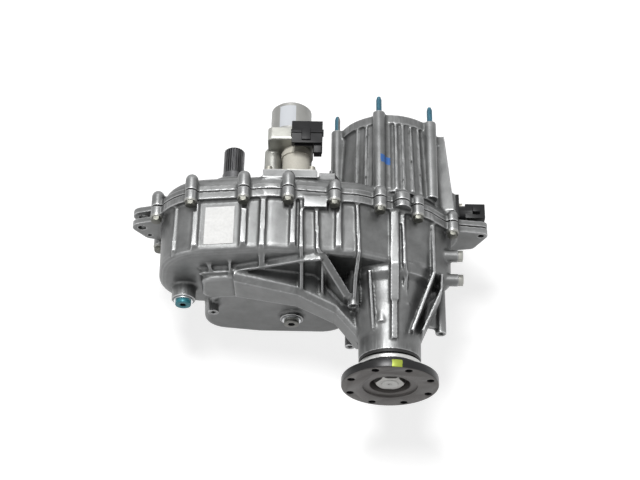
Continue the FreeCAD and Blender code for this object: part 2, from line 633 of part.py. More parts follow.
    # Hollow: side chamber, sump and main chamber down to the bearing
    hollow = [
        belt_slab(CASE_BELT, inner_end, rear_joint_y + 1, inner_offset),
        belt_slab(SUMP_BELT, inner_end, rear_joint_y + 1, inner_offset - 4, inner_offset),
        belt_slab(PAN_BELT, sump_floor_y, inner_end + 1, inner_offset - 5),
        tube_y(chamber_bore_r, 0, ramp_seat_y, rear_joint_y + 1),
        tube_y(pump_bore_r, 0, -270, ramp_seat_y + 1),
        tube_y(num("pump_r"), 0, -285, -260),
        tube_y(num("pump_rotor_r"), 0, rear_bearing_front - 1, -280),
        tube_y(bearing_bore_r, 0, rear_bearing_rear - 2, rear_bearing_front),
        tube_y(num("flange_hub_r") + 3, 0, neck_end_y, rear_bearing_rear + 1),
        tube_y(seal_bore_r, 0, neck_end_y, seal_front_y),
        tube_y(num("needle_r") + num("needle_wall"), 0, needle_rear_y, inner_end + 1, front_x, front_z),
        tube_y(num("needle_r") + 2, 0, needle_rear_y - 3, needle_rear_y + 1, front_x, front_z),
        tube_y(4 + thread_gap, 0, sump_floor_y - 3, sump_floor_y + 1, pickup_x, pickup_z),
        tube_y(num("rail_r") + thread_gap, 0, inner_end - 4, inner_end + 1, num("rail_x"), num("rail_z")),
        tube_y(num("plug_r") + thread_gap, 0, num("plug_boss_y"), -225, *fill_place),
        tube_y(num("plug_r") + thread_gap, 0, sump_end_y - 6, -230, *drain_place),
    ]
    hollow += [Part.makeCylinder(num("side_plug_r") + thread_gap, 13, Vector(side_boss_x - 12, y, z),
                                 Vector(1, 0, 0))
               for y, z in SIDE_BOSSES]
    casting = casting.cut(hollow)
    # Bolt heads need a clear seat behind each column
    access_r = num("bolt_washer_r") + num("bolt_access")
    access = [tube_y(access_r, 0, bolt_seat_y - 13, bolt_seat_y, x, z) for x, z in bolt_places]
    casting = casting.cut(access)
    columns = [tube_y(num("bolt_column_r"), 0, bolt_seat_y, rear_joint_y, x, z) for x, z in bolt_places]
    hole_r = num("bolt_diameter") / 2 + num("bolt_hole_gap")
    holes = [tube_y(hole_r, 0, bolt_seat_y - 1, rear_joint_y + 1, x, z) for x, z in bolt_places]
    holes += [tube_y(4 + thread_gap, 0, rear_joint_y - 9, rear_joint_y + 1, x, z) for x, z in dowel_places]
    holes += [tube_y(num("post_hole") / 2, 0, y - 1, y + 18, x, z) for x, y, z in POSTS]
    return casting.fuse(columns).cut(holes + ear_and_lug_holes())


def ear_plate(y0, thick):
    """One plate of the hanger ear, reaching from its hole into the flange."""
    circles = [(-290, -8, 16), (-296, 34, 18), (num("ear_x"), num("ear_z"), num("ear_r")), (-340, 0, 10)]
    return belt_slab(circles, y0, y0 + thick)


def side_lug(y0, thick):
    """Four-cornered lug on the right of the joint flange."""
    circles = [(132, 10, 9), (60, 22, 8), (60, -34, 8), (118, -20, 9)]
    return belt_slab(circles, y0, y0 + thick)


def ear_and_lug_holes():
    """The holes that run through both halves on the left and on the right."""
    places = [(num("ear_hole") / 2, num("ear_x"), num("ear_z")), (3, -341, 0), (4.2, *lug_hole)]
    return [tube_y(r, 0, -200, -120, x, z) for r, x, z in places]


lug_hole = (131, 10)
pickup_x, pickup_z = -112, -66
fill_place = (num("plug_x"), num("plug_z"))
drain_place = (-137, -80)
inner_end = shoulder_y + wall + 1
sump_floor_y = sump_end_y + wall + 2
ramp_seat_y = num("ramp_ring_rear_y") - 5
POSTS = [(-51, -292, 38), (73, -303, -22), (-52, -300, -76), (-248, -264, -45)]
SIDE_BOSSES = [(-200, 18), (-235, 12)]
seal_bore_r = 38
pump_bore_r = 48
needle_rear_y = inner_end - 16
add_feature("rear_case", rear_case())


# Front half of the case: side wall, front output neck and gearbox adapter in one casting


def front_case():
    lip_end = joint_y + num("front_lip_thick")
    rim_y = -num("adapter_rim_len")
    rim_r = adapter_rim_r
    into_wall = front_wall_y - 6
    neck_r, neck_y = num("front_neck_r"), num("front_neck_y")
    solids = [belt_slab(CASE_BELT, front_joint_y, lip_end), belt_slab(SUMP_BELT, front_joint_y, lip_end)]
    solids += rounded_slab(CASE_BELT, front_wall_y, lip_end, body_offset, 1, num("edge_round"))
    solids += rounded_slab(SUMP_BELT, front_wall_y, lip_end, body_offset, 1, num("edge_round"))
    solids += [
        cone_y(adapter_r + 6, adapter_r, front_wall_y - 8, rim_y),
        tube_y(rim_r, 0, rim_y, 0),
        cone_y(neck_r, neck_r - 4, into_wall, front_bearing_front + 3, front_x, front_z),
        cone_y(neck_r - 4, num("front_neck_end_r"), front_bearing_front + 3, neck_y, front_x, front_z),
    ]
    # Lugs along the barrel round the studs, with webs into the barrel
    lug_r = num("stud_lug_r")
    for x, z in stud_places:
        solids.append(tube_y(lug_r, 0, into_wall, 0, x, z))
        inward = 0.78
        solids.append(belt_slab([(x, z, lug_r - 1), (x * inward, z * inward, lug_r + 2)], into_wall, -2))
    # Fine ribs on the barrel and the square lug on the right
    for angle in (9, 56, 66, 76, 84, 92, 118, 130, 178, 196, 235, 262, 300, 322):
        fin = rib([(0, front_wall_y - 4, rim_r + 4), (0, rim_y + 2, rim_r - 1)], num("fine_rib_thick"), 60)
        fin.rotate(Vector(0, 0, 0), Vector(0, 1, 0), 90 - angle)
        solids.append(fin)
    square_lug = rib([(0, front_wall_y - 4, 96), (0, 0, 85)], 18, 60)
    square_lug.rotate(Vector(0, 0, 0), Vector(0, 1, 0), 90 - 9)
    solids.append(square_lug)
    # Pads for the shift motor, the harness bracket and the speed sensor
    solids.append(block(motor_pad[0], motor_pad[1], into_wall, motor_pad_y, motor_pad[2], motor_pad[3]))
    solids.append(block(-101, -78, into_wall, -108, 50, 86))
    solids.append(belt_slab([(-84, 72, 3), (-70, 38, 3)], into_wall, -96))
    solids.append(block(60, sensor_face_x, sensor_y - 21, sensor_y + 21, sensor_z - 18, sensor_z + 18))
    solids.append(ear_plate(front_joint_y + num("ear_slot") / 2, num("ear_thick")))
    solids.append(side_lug(front_joint_y, 9))
    solids.append(tube_y(12, 0, front_joint_y, joint_y + 12, *bush_place))
    solids.append(tube_y(10, 0, front_joint_y, joint_y + 17, *bush_place))
    # Columns with domed ends round the case bolts, longer on the left
    column_r = num("bolt_column_r")
    for x, z in bolt_places:
        column_y = joint_y + num("column_long" if x < -120 else "column_short")
        solids.append(tube_y(column_r, 0, front_joint_y, column_y, x, z))
        solids.append(Part.makeSphere(column_r, Vector(x, column_y, z)))
    casting = united(solids)
    bearing_r = num("input_journal_r") + 4 * num("race_thick")
    inner_front = front_wall_y - wall
    hollow = [
        belt_slab(CASE_BELT, front_joint_y - 1, inner_front, inner_offset),
        belt_slab(SUMP_BELT, front_joint_y - 1, inner_front, inner_offset),
        tube_y(adapter_bore_r, 0, -112, -78),
        tube_y(chamber_bore_r, 0, front_joint_y - 1, -108),
        tube_y(adapter_bore_r, 0, -48, 1),
        tube_y(bearing_r, 0, num("input_bearing_y"), -40),
        tube_y(bearing_r - 6, 0, -80, -60),
        tube_y(bearing_bore_r, 0, inner_front - 2, front_bearing_front, front_x, front_z),
        tube_y(num("front_seal_r") - 4, 0, front_bearing_front - 1, neck_y + 1, front_x, front_z),
        tube_y(num("front_seal_r"), 0, neck_y - 9, neck_y + 1, front_x, front_z),
        tube_y(num("rail_r") + thread_gap, 0, inner_front - 1, inner_front + 4, num("rail_x"), num("rail_z")),
        tube_y(num("cam_shaft_r") + num("running_gap"), 0, -140, -90, selector_x, selector_z),
        tube_y(5 + thread_gap, 0, inner_front - 1, front_wall_y + 1, num("vent_x"), num("vent_z")),
    ]
    bolt_r = num("bolt_diameter") / 2 + thread_gap
    hollow += [tube_y(bolt_r, 0, front_joint_y - 1, joint_y + num("bolt_grip") + 2, x, z) for x, z in bolt_places]
    stud_r = num("stud_root_r") + thread_gap
    for x, z in stud_places:
        hollow.append(tube_y(stud_r, 0, -num("stud_depth") - 1, 1, x, z))
        hollow.append(tube_y(num("stud_mouth_r"), 0, -num("stud_mouth_depth"), 1, x, z))
    hollow += [tube_y(4 + thread_gap, 0, front_joint_y - 1, front_joint_y + 7, x, z) for x, z in dowel_places]
    hollow += [tube_y(3 + thread_gap, 0, motor_pad_y - 12, motor_pad_y + 1, x, z) for x, z in motor_bolt_places]
    hollow.append(Part.makeCylinder(3 + thread_gap, 13, Vector(sensor_face_x - 12, sensor_y + 14, sensor_z - 8),
                                    Vector(1, 0, 0)))
    return casting.cut(hollow + ear_and_lug_holes()).removeSplitter()


motor_pad = (-179, -103, 12, 106)
motor_pad_y = -116
foot_thick = 7
sensor_face_x, sensor_y, sensor_z = 96, -119, 3
motor_x, motor_z = num("motor_x"), num("motor_z")
selector_x, selector_z = num("selector_x"), num("selector_z")
motor_bolt_places = [(motor_x + dx, motor_z + dz) for dx, dz in ((-29, 14), (31, 15), (0, -52))]
add_feature("front_case", front_case())

# Sealing bead between the halves


def case_gasket():
    inner = inner_offset + 1
    outer = belt_slab(CASE_BELT, rear_joint_y, front_joint_y, -1).fuse(
        belt_slab(SUMP_BELT, rear_joint_y, front_joint_y, -1))
    opening = belt_slab(CASE_BELT, rear_joint_y - 1, front_joint_y + 1, inner).fuse(
        belt_slab(SUMP_BELT, rear_joint_y - 1, front_joint_y + 1, inner))
    holes = [tube_y(num("bolt_diameter") / 2 + num("bolt_hole_gap"), 0, rear_joint_y - 1, front_joint_y + 1, x, z)
             for x, z in bolt_places]
    holes += [tube_y(4.2, 0, rear_joint_y - 1, front_joint_y + 1, x, z) for x, z in dowel_places]
    return outer.cut([opening, tube_y(chamber_bore_r, 0, rear_joint_y - 1, front_joint_y + 1)] + holes).removeSplitter()


add_feature("case_gasket", case_gasket())


def hex_bolt(x, z):
    """Case bolt with its washer face, head to the rear."""
    washer_y = bolt_seat_y - num("bolt_washer_thick")
    head_r = num("bolt_head_across") / sqrt(3)
    head = hexagon(num("bolt_head_across"), Vector(x, washer_y, z), Vector(0, -1, 0), num("bolt_head_len"))
    dome = cone_y(head_r * 0.86, head_r * 1.3, washer_y - num("bolt_head_len"), washer_y, x, z)
    shank = tube_y(num("bolt_diameter") / 2, 0, washer_y, joint_y + num("bolt_grip"), x, z)
    washer = cone_y(num("bolt_washer_r") - 0.8, num("bolt_washer_r"), washer_y, bolt_seat_y, x, z)
    return united([head.common(dome), washer, shank])


add_feature("case_bolts", Part.Compound([hex_bolt(x, z) for x, z in bolt_places]))
add_feature("case_dowels", Part.Compound([tube_y(4, 2.4, joint_y - 9, joint_y + 7, x, z) for x, z in dowel_places]))


def stud(x, z):
    """Stud with its shoulder in the counterbore of the gearbox face."""
    r = num("stud_diameter") / 2
    tip = num("stud_proud")
    point = 5
    shoulder = -num("stud_mouth_depth")
    return united([
        tube_y(num("stud_root_r"), 0, -num("stud_depth"), 0, x, z),
        tube_y(r, 0, shoulder, tip - point, x, z),
        cone_y(r, 0.65 * r, tip - point, tip, x, z),
    ])


add_feature("gearbox_studs", Part.Compound([stud(x, z) for x, z in stud_places]))

# Oil plugs with their sealing rings


def oil_plug(x, face_y, z):
    r = num("plug_r")
    head = tube_y(num("plug_head_r"), 0, face_y - 7.5, face_y - 1.5, x, z)
    thread = tube_y(r, 0, face_y - 2, face_y + 11, x, z)
    return united([head, thread]).cut(hexagon(8.7, Vector(x, face_y - 2, z), Vector(0, -1, 0), 6))


plug_places = [(num("plug_x"), num("plug_boss_y"), num("plug_z")), (drain_place[0], sump_end_y - 6, drain_place[1])]
add_feature("oil_plugs", Part.Compound([oil_plug(*place) for place in plug_places]))
add_feature("plug_washers", Part.Compound([
    tube_y(num("plug_head_r") + 2.5, num("plug_r") + 0.1, y - 1.5, y, x, z) for x, y, z in plug_places]))



def side_plug(y, z):
    """Hexagon plug in a boss on the right wall."""
    head = hexagon(num("side_plug_across"), Vector(side_boss_x, y, z), Vector(1, 0, 0), 7)
    thread = Part.makeCylinder(num("side_plug_r"), 11, Vector(side_boss_x - 10, y, z), Vector(1, 0, 0))
    return united([head, thread])


add_feature("side_plugs", Part.Compound([side_plug(y, z) for y, z in SIDE_BOSSES]))

# Bearings of the housing: outer race and balls


def outer_race(label, seat, start, x="0", z="0"):
    """Outer race of a ball bearing whose inner race sits on the radius seat."""
    end = f"{start} + bearing_width"
    return turned_solid(label, [(f"{seat} + 4 * race_thick", start, end)], [(f"{seat} + 3 * race_thick", start, end)],
                        x, z)


races = doc.addObject("Part::Compound", "bearing_outer_races")
races.Links = [
    outer_race("input_race", "input_journal_r", "input_bearing_y"),
    outer_race("rear_race", "bearing_seat_r", "rear_bearing_y - bearing_width"),
    outer_race("front_race", "bearing_seat_r", "front_bearing_y", "front_axis_x", "front_axis_z"),
]
keep(races, "bearing_outer_races")
half_width = num("bearing_width") / 2
ball_pitch = num("bearing_seat_r") + 2 * num("race_thick")
input_ball_pitch = num("input_journal_r") + 2 * num("race_thick")
add_feature("bearing_balls", Part.Compound(
    ball_ring(input_ball_pitch, num("input_bearing_y") + half_width)
    + ball_ring(ball_pitch, rear_bearing_front - half_width)
    + ball_ring(ball_pitch, front_bearing_rear + half_width, front_x, front_z)))
needle_rear = "-face_to_joint - joint_to_shoulder + case_wall - 15"
turned("needle_bearing", [("needle_r + needle_wall", needle_rear, f"{needle_rear} + needle_len")],
       [("needle_r + running_gap", needle_rear, f"{needle_rear} + needle_len")], "front_axis_x", "front_axis_z")

# Seals
turned("input_seal", [("input_journal_r + 4 * race_thick", "input_bearing_y + bearing_width + 4", "-42")],
       [("input_journal_r + running_gap", "input_bearing_y + bearing_width + 4", "-42")])
turned("rear_output_seal", [("38", "-face_to_neck_end", "-face_to_neck_end + 12"),
                            ("neck_r - 0.6", "-face_to_neck_end - 4", "-face_to_neck_end")],
       [("flange_hub_r + running_gap", "-face_to_neck_end - 5", "-face_to_neck_end + 12")])
turned("front_output_seal", [("front_seal_r", "front_neck_y - 9", "front_neck_y + 1.5")],
       [("bearing_seat_r + running_gap", "front_neck_y - 9", "front_neck_y + 1.5")], "front_axis_x", "front_axis_z")

# Planetary reduction


def ring_gear():
    blank = tube_y(ring_outer_r, 0, planet_y0 - 2, planet_y1 + 2)
    space = gear(ring_teeth, module, planet_y0 - 3, planet_y1 + 3, 0, 180 / ring_teeth,
                 -2.5 * backlash, ring_root, 0.9)
    lugs = [block(ring_outer_r - 2, adapter_bore_r + 1, planet_y0, planet_y1, -4, 4) for i in range(6)]
    for i, lug in enumerate(lugs):
        lug.rotate(Vector(0, 0, 0), Vector(0, 1, 0), 60 * i + 15)
    bore = tube_y(adapter_bore_r - thread_gap, 0, planet_y0 - 3, planet_y1 + 3)
    return united([blank] + lugs).common(bore).cut(space)


add_feature("ring_gear", ring_gear())


def snap_ring(outer, inner, y, x=0.0, z=0.0):
    ring = tube_y(outer, inner, y, y + 2, x, z)
    return ring.cut(block(x - 3, x + 3, y - 1, y + 3, z, z + outer + 1))


add_feature("snap_rings", Part.Compound([
    snap_ring(adapter_bore_r - thread_gap, adapter_bore_r - 5, planet_y0 - 4.2),
    snap_ring(bearing_bore_r - thread_gap, bearing_bore_r - 3.9, rear_bearing_rear - 2),
]))


def input_shaft():
    journal = num("input_journal_r")
    blank = united([
        tube_y(journal, 0, -74, -12),
        tube_y(24, 0, planet_y1 - 1, -70),
        gear(sun_teeth, module, planet_y0, planet_y1, 0, 0, backlash),
    ])
    spline = gear(23, 1.25, -52, -11, 0, 0, 0)
    pilot = tube_y(num("nose_r") + 3, 0, planet_y0 - 1, planet_y0 + 18)
    return blank.cut([spline, pilot, tube_y(8, 0, -100, -50)])


add_feature("input_shaft", input_shaft())
turned("input_bearing_cone",
       [("input_journal_r + race_thick", "input_bearing_y", "input_bearing_y + bearing_width")],
       [("input_journal_r", "input_bearing_y", "input_bearing_y + bearing_width")])
turned("pilot_bushing", [("nose_r + 3", "planet_rear_y", "planet_rear_y + 18")],
       [("nose_r + running_gap", "planet_rear_y", "planet_rear_y + 18")])

planet_angles = [360 / num("planet_count") * i for i in range(int(num("planet_count")))]
planet_places = [(planet_orbit * cos(radians(a)), planet_orbit * sin(radians(a))) for a in planet_angles]


def planet_carrier():
    plate = num("carrier_plate")
    r = num("carrier_r")
    rear = tube_y(r, num("shaft_body_r") - 4, planet_y0 - gap - plate - 2, planet_y0 - gap)
    front = tube_y(r, 30, planet_y1 + gap, planet_y1 + gap + plate)
    posts = []
    for angle in planet_angles:
        post = block(34, 46, planet_y0 - 1, planet_y1 + 1, -5, 5)
        post.rotate(Vector(0, 0, 0), Vector(0, 1, 0), -(angle + 45))
        posts.append(post)
    pins = [tube_y(num("planet_pin_r"), 0, planet_y0 - 20, planet_y1 + 20, x, z) for x, z in planet_places]
    return united([rear, front] + posts).cut(pins).cut(tube_y(15.5, 0, planet_y0 - 20, planet_y0)).removeSplitter()


add_feature("planet_carrier", planet_carrier())
add_feature("planet_pins", Part.Compound([
    tube_y(num("planet_pin_r"), 0, planet_y0 - gap - num("carrier_plate") - 1,
           planet_y1 + gap + num("carrier_plate"), x, z)
    for x, z in planet_places]))
for number, (x, z) in enumerate(planet_places, 1):
    planet = gear(planet_teeth, module, planet_y0, planet_y1, num("planet_pin_r") + num("running_gap"),
                  180 / planet_teeth, backlash)
    planet.translate(Vector(x, 0, z))
    add_feature(f"planet_gear_{number}", planet)

# Main shaft and what turns with it


def output_shaft():
    body_r = num("shaft_body_r")
    seat_r = num("bearing_seat_r")
    end_y = -num("face_to_flange") + num("shaft_end_depth")
    steps = [
        tube_y(num("nose_r"), 0, planet_y0 - 20, planet_y0 + 17),
        tube_y(14.5, 0, -122, planet_y0 - 4),
        gear(30, 2 * num("range_hub_r") / 32, -160, -120, 0),
        tube_y(body_r, 0, -205, -158),
        tube_y(body_r - 1, 0, rear_bearing_front + 0.02, -204),
        tube_y(seat_r, 0, -320, rear_bearing_front + 1),
        tube_y(num("shaft_flange_r"), 0, -num("face_to_flange") + 22, -318),
        tube_y(num("shaft_end_r"), 0, end_y + 1, -368),
        cone_y(num("shaft_end_r") - 1, num("shaft_end_r"), end_y, end_y + 1),
    ]
    centre_drill = cone_y(3.2, 0.6, end_y - 0.01, end_y + 4)
    return united(steps).cut(centre_drill)


add_feature("output_shaft", output_shaft())

# Output flange: turned profile, then its ring of holes


def polygon_sketch(body, plane, points, name):
    """Closed sketch through points given as pairs of expressions."""
    sketch = body.newObject("Sketcher::SketchObject", name)
    sketch.AttachmentSupport = [(next(f for f in body.Origin.OriginFeatures if f.Role == plane), "")]
    sketch.MapMode = "FlatFace"
    count = len(points)
    spots = [Vector(num(u), num(v), 0) for u, v in points]
    for i in range(count):
        sketch.addGeometry(Part.LineSegment(spots[i], spots[(i + 1) % count]), False)
    for i in range(count):
        sketch.addConstraint(Sketcher.Constraint("Coincident", i, 2, (i + 1) % count, 1))
    for i, (u, v) in enumerate(points):
        for kind, expression in (("DistanceX", u), ("DistanceY", v)):
            index = sketch.addConstraint(Sketcher.Constraint(kind, -1, 1, i, 1, num(expression)))
            sketch.setExpression(f"Constraints[{index}]", full(expression))
    return sketch


def turned_body(name, points):
    """A body turned about Y from a half profile of (radius, y) expressions."""
    body = doc.addObject("PartDesign::Body", name)
    sketch = polygon_sketch(body, "XY_Plane", points, name + "_profile")
    turn = body.newObject("PartDesign::Revolution", name + "_turning")
    turn.Profile = sketch
    turn.ReferenceAxis = (sketch, ["V_Axis"])
    turn.Angle = 360
    doc.recompute()
    return body


flange_front = "-face_to_flange + flange_thick"
flange_body = turned_body("output_flange", [
    ("shaft_flange_r", "-face_to_flange + nut_well_depth"),
    ("nut_well_r", "-face_to_flange + nut_well_depth"),
    ("nut_well_r", "-face_to_flange + pilot_depth"),
    ("pilot_r", "-face_to_flange + pilot_depth"),
    ("pilot_r", "-face_to_flange"),
    ("flange_circle / 2 + flange_edge - 1", "-face_to_flange"),
    ("flange_circle / 2 + flange_edge", "-face_to_flange + 1"),
    ("flange_circle / 2 + flange_edge", f"{flange_front} - 1"),
    ("flange_circle / 2 + flange_edge - 1", flange_front),
    ("flange_drum_r", flange_front),
    ("flange_drum_r", f"{flange_front} + flange_drum_len - 1"),
    ("flange_drum_r - 1", f"{flange_front} + flange_drum_len"),
    ("flange_hub_r + 4", f"{flange_front} + flange_drum_len"),
    ("flange_hub_r + 4", f"{flange_front} + flange_drum_len + deflector_len"),
    ("flange_hub_r", f"{flange_front} + flange_drum_len + deflector_len + 2"),
    ("flange_hub_r", f"{flange_front} + flange_hub_len"),
    ("shaft_flange_r", f"{flange_front} + flange_hub_len"),
])
hole_sketch = flange_body.newObject("Sketcher::SketchObject", "output_flange_hole")
hole_sketch.AttachmentSupport = [(next(f for f in flange_body.Origin.OriginFeatures if f.Role == "XZ_Plane"), "")]
hole_sketch.MapMode = "FlatFace"
first_hole = radians(22.5)
hole_sketch.addGeometry(Part.Circle(Vector(num("flange_circle / 2") * cos(first_hole),
                                           num("flange_circle / 2") * sin(first_hole), 0), Vector(0, 0, 1),
                                    num("flange_hole / 2")), False)
for kind, value, expression in (
        ("DistanceX", num("flange_circle / 2") * cos(first_hole), "flange_circle / 2 * cos(22.5)"),
        ("DistanceY", num("flange_circle / 2") * sin(first_hole), "flange_circle / 2 * sin(22.5)")):
    index = hole_sketch.addConstraint(Sketcher.Constraint(kind, -1, 1, 0, 3, value))
    hole_sketch.setExpression(f"Constraints[{index}]", full(expression))
index = hole_sketch.addConstraint(Sketcher.Constraint("Radius", 0, num("flange_hole / 2")))
hole_sketch.setExpression(f"Constraints[{index}]", full("flange_hole / 2"))
drilled = flange_body.newObject("PartDesign::Pocket", "output_flange_drilling")
drilled.Profile = hole_sketch
drilled.Type = "ThroughAll"
drilled.Midplane = True
ring = flange_body.newObject("PartDesign::PolarPattern", "output_flange_ring")
ring.Originals = [drilled]
ring.Axis = (next(f for f in flange_body.Origin.OriginFeatures if f.Role == "Y_Axis"), [""])
ring.Angle = 360
ring.setExpression("Occurrences", full("flange_hole_count"))
flange_body.Tip = ring
keep(flange_body, "output_flange")

keep(turned_body("dust_deflector", [
    ("flange_hub_r + 4.02", f"{flange_front} + flange_drum_len"),
    ("deflector_r - 1", f"{flange_front} + flange_drum_len"),
    ("deflector_r", f"{flange_front} + flange_drum_len + 1"),
    ("deflector_r", f"{flange_front} + flange_drum_len + deflector_len - 1"),
    ("deflector_r - 1", f"{flange_front} + flange_drum_len + deflector_len"),
    ("flange_hub_r + 4.02", f"{flange_front} + flange_drum_len + deflector_len"),
]), "dust_deflector")


def flange_nut():
    y1 = -num("face_to_flange") + num("nut_well_depth")
    y0 = y1 - num("nut_height")
    r = num("nut_across") / sqrt(3)
    prism = hexagon(num("nut_across"), Vector(0, y0, 0), Vector(0, 1, 0), y1 - y0)
    bevel = cone_y(r * 0.9, r * 1.35, y0, y1)
    collar = tube_y(num("nut_washer_r") + 2, 0, y1 - 2.4, y1)
    return united([prism.common(bevel), collar]).cut(tube_y(num("shaft_end_r"), 0, y0 - 1, y1 + 1))


add_feature("flange_nut", flange_nut())
turned("rear_bearing_cone",
       [("bearing_seat_r + race_thick", "rear_bearing_y - bearing_width", "rear_bearing_y")],
       [("bearing_seat_r", "rear_bearing_y - bearing_width", "rear_bearing_y")])
turned("clutch_hub", [("hub_r", "drum_rear_y + 1", "plate_front_y + 1.5")], [
    ("shaft_body_r - 1", "drum_rear_y", "plate_front_y + 2")])
plate_pitch = 2 * (num("plate_thick") + gap)
plate_starts = [num("plate_front_y") - num("plate_thick") - i * plate_pitch for i in range(int(num("plate_count")))]
plate_outer = drum_r - num("drum_wall")
add_feature("friction_plates", Part.Compound([
    tube_y(plate_outer - 1, num("hub_r"), y, y + num("plate_thick")) for y in plate_starts]))
turned("pump_rotor", [("pump_rotor_r - 5", "-282", "-272")], [("shaft_body_r - 1", "-283", "-271")])

# Chain drive
sprocket_y0 = num("sprocket_rear_y")
sprocket_y1 = sprocket_y0 + num("sprocket_width")


def sprocket(bore, x=0.0, z=0.0):
    teeth = gear(sprocket_teeth, 2 * sprocket_r / sprocket_teeth, sprocket_y0, sprocket_y1, 0, 0, 0.4)
    tip = sprocket_r + 1
    toothed = teeth.common(tube_y(tip, 0, sprocket_y0, sprocket_y1))
    solid = toothed.cut(tube_y(bore, 0, sprocket_y0 - 1, sprocket_y1 + 1))
    solid.translate(Vector(x, 0, z))
    return solid


def drive_sprocket():
    bore = num("shaft_body_r") + num("running_gap")
    drum_y = num("drum_rear_y")
    back = tube_y(drum_r, bore, sprocket_y0 - 5, sprocket_y0)
    skirt = tube_y(drum_r, plate_outer, drum_y, sprocket_y0 - 4)
    return united([sprocket(bore), back, skirt])


add_feature("drive_sprocket", drive_sprocket())
steel_starts = [y - gap - num("plate_thick") for y in plate_starts]
add_feature("steel_plates", Part.Compound([
    tube_y(plate_outer, num("hub_r") + gap, y, y + num("plate_thick")) for y in steel_starts]))
add_feature("driven_sprocket", sprocket(num("bearing_seat_r") + 1.5, front_x, front_z))


def drive_chain():
    """Silent chain as link packs laid round both sprockets."""
    inner_r = sprocket_r + 1 + num("chain_gap")
    middle_r = inner_r + num("chain_thick") / 2
    span = sqrt(front_x ** 2 + front_z ** 2)
    lean = atan2(front_z, front_x)
    total = 2 * span + 2 * pi * middle_r
    count = int(total / num("chain_pitch"))
    step = total / count
    links = []
    for i in range(count):
        s = i * step
        if s < span:
            local_x, local_z, turn = s, middle_r, 0.0
        elif s < span + pi * middle_r:
            a = (s - span) / middle_r
            local_x, local_z, turn = span + middle_r * sin(a), middle_r * cos(a), -a
        elif s < 2 * span + pi * middle_r:
            local_x, local_z, turn = span - (s - span - pi * middle_r), -middle_r, pi
        else:
            a = (s - 2 * span - pi * middle_r) / middle_r
            local_x, local_z, turn = -middle_r * sin(a), -middle_r * cos(a), pi - a
        half_len = step / 2 - 0.45
        half_thick = num("chain_thick") / 2 - 0.3
        width0, width1 = sprocket_y0 + 1, sprocket_y1 - 1
        link = block(-half_len, half_len, width0, width1, -half_thick, half_thick)
        link.rotate(Vector(0, 0, 0), Vector(0, 1, 0), -turn * 180 / pi)
        link.translate(Vector(local_x, 0, local_z))
        links.append(link)
    chain = Part.Compound(links)
    chain.rotate(Vector(0, 0, 0), Vector(0, 1, 0), -lean * 180 / pi)
    return chain


add_feature("drive_chain", drive_chain())

# Front output shaft


def front_output_shaft():
    seat_r = num("bearing_seat_r")
    tip = num("front_shaft_tip_y")
    steps = [
        tube_y(num("needle_r"), 0, needle_rear_y - 2, -214),
        tube_y(seat_r + 1.5, 0, -216, front_bearing_rear - 0.02),
        tube_y(seat_r, 0, front_bearing_rear - 1, num("front_neck_y") + 2),
        tube_y(16, 0, num("front_neck_y") + 1, num("front_neck_y") + 20),
        gear(26, 2 * num("front_spline_r") / 27.8, num("front_neck_y") + 19, tip - 1.5, 0),
        cone_y(num("front_spline_r") - 0.6, num("front_spline_r") - 2, tip - 2, tip),
    ]
    solid = united(steps)
    solid.translate(Vector(front_x, 0, front_z))
    return solid


add_feature("front_output_shaft", front_output_shaft())
turned("front_bearing_cone",
       [("bearing_seat_r + race_thick", "front_bearing_y", "front_bearing_y + bearing_width")],
       [("bearing_seat_r", "front_bearing_y", "front_bearing_y + bearing_width")], "front_axis_x", "front_axis_z")
turned("front_shaft_ring", [("16 + 2.4", "front_neck_y + 2.5", "front_neck_y + 8.5")],
       [("16", "front_neck_y + 2.5", "front_neck_y + 8.5")], "front_axis_x", "front_axis_z")

# Range selection


def range_sleeve():
    bore_r = num("range_hub_r") + 0.5
    outer_r = bore_r + num("sleeve_wall")
    y0 = num("sleeve_rear_y")
    y1 = y0 + num("sleeve_len")
    fork_y0 = num("fork_y") - gap
    fork_y1 = num("fork_y") + num("fork_thick") + gap
    solids = [
        tube_y(outer_r, bore_r, y0, y1),
        tube_y(num("collar_r"), bore_r, fork_y0 - 3, fork_y0),
        tube_y(num("collar_r"), bore_r, fork_y1, fork_y1 + 3),
    ]
    return united(solids)


add_feature("range_sleeve", range_sleeve())


def range_fork():
    y0 = num("fork_y")
    y1 = y0 + num("fork_thick")
    rail_x, rail_z = num("rail_x"), num("rail_z")
    claw_in = num("range_hub_r") + 0.5 + num("sleeve_wall") + gap
    claw = tube_y(46, claw_in, y0, y1)
    claw = claw.cut(block(6, 60, y0 - 1, y1 + 1, -60, 60))
    arm = belt_slab([(rail_x, rail_z, 11), (rail_x + 26, rail_z - 12, 12)][::-1], y0, y1)
    arm = arm.cut(tube_y(claw_in, 0, y0 - 1, y1 + 1))
    pin_reach = belt_slab([(rail_x, rail_z, 10), (selector_x + 28, selector_z - 12, 5)], y0, y1)
    hub = tube_y(11, 0, y0 - 8, y1, rail_x, rail_z)
    bore = tube_y(num("rail_r") + num("running_gap"), 0, y0 - 20, y1 + 20, rail_x, rail_z)
    return united([claw, arm, pin_reach, hub]).cut(bore)


add_feature("range_fork", range_fork())
turned("shift_rail", [("rail_r", "-face_to_joint - joint_to_shoulder + case_wall - 3",
                       "-face_to_joint + joint_to_front_wall - case_wall + 4")], (), "rail_x", "rail_z")
turned("selector_cam", [("cam_r", "fork_y - 1", "fork_y + 16"), ("cam_shaft_r", "fork_y", "gearhead_rear_y - 40")],
       (), "selector_x", "selector_z")

# Shift motor: can, gear housing, position sensor, connector and bolts
gearhead_half, gearhead_corner = num("gearhead_half"), num("gearhead_corner")
gearhead_reach = gearhead_half - gearhead_corner
GEARHEAD = [(motor_x + dx * gearhead_reach, motor_z + dz * gearhead_reach, gearhead_corner)
            for dx, dz in ((1, 1), (-1, 1), (-1, -1), (1, -1))]


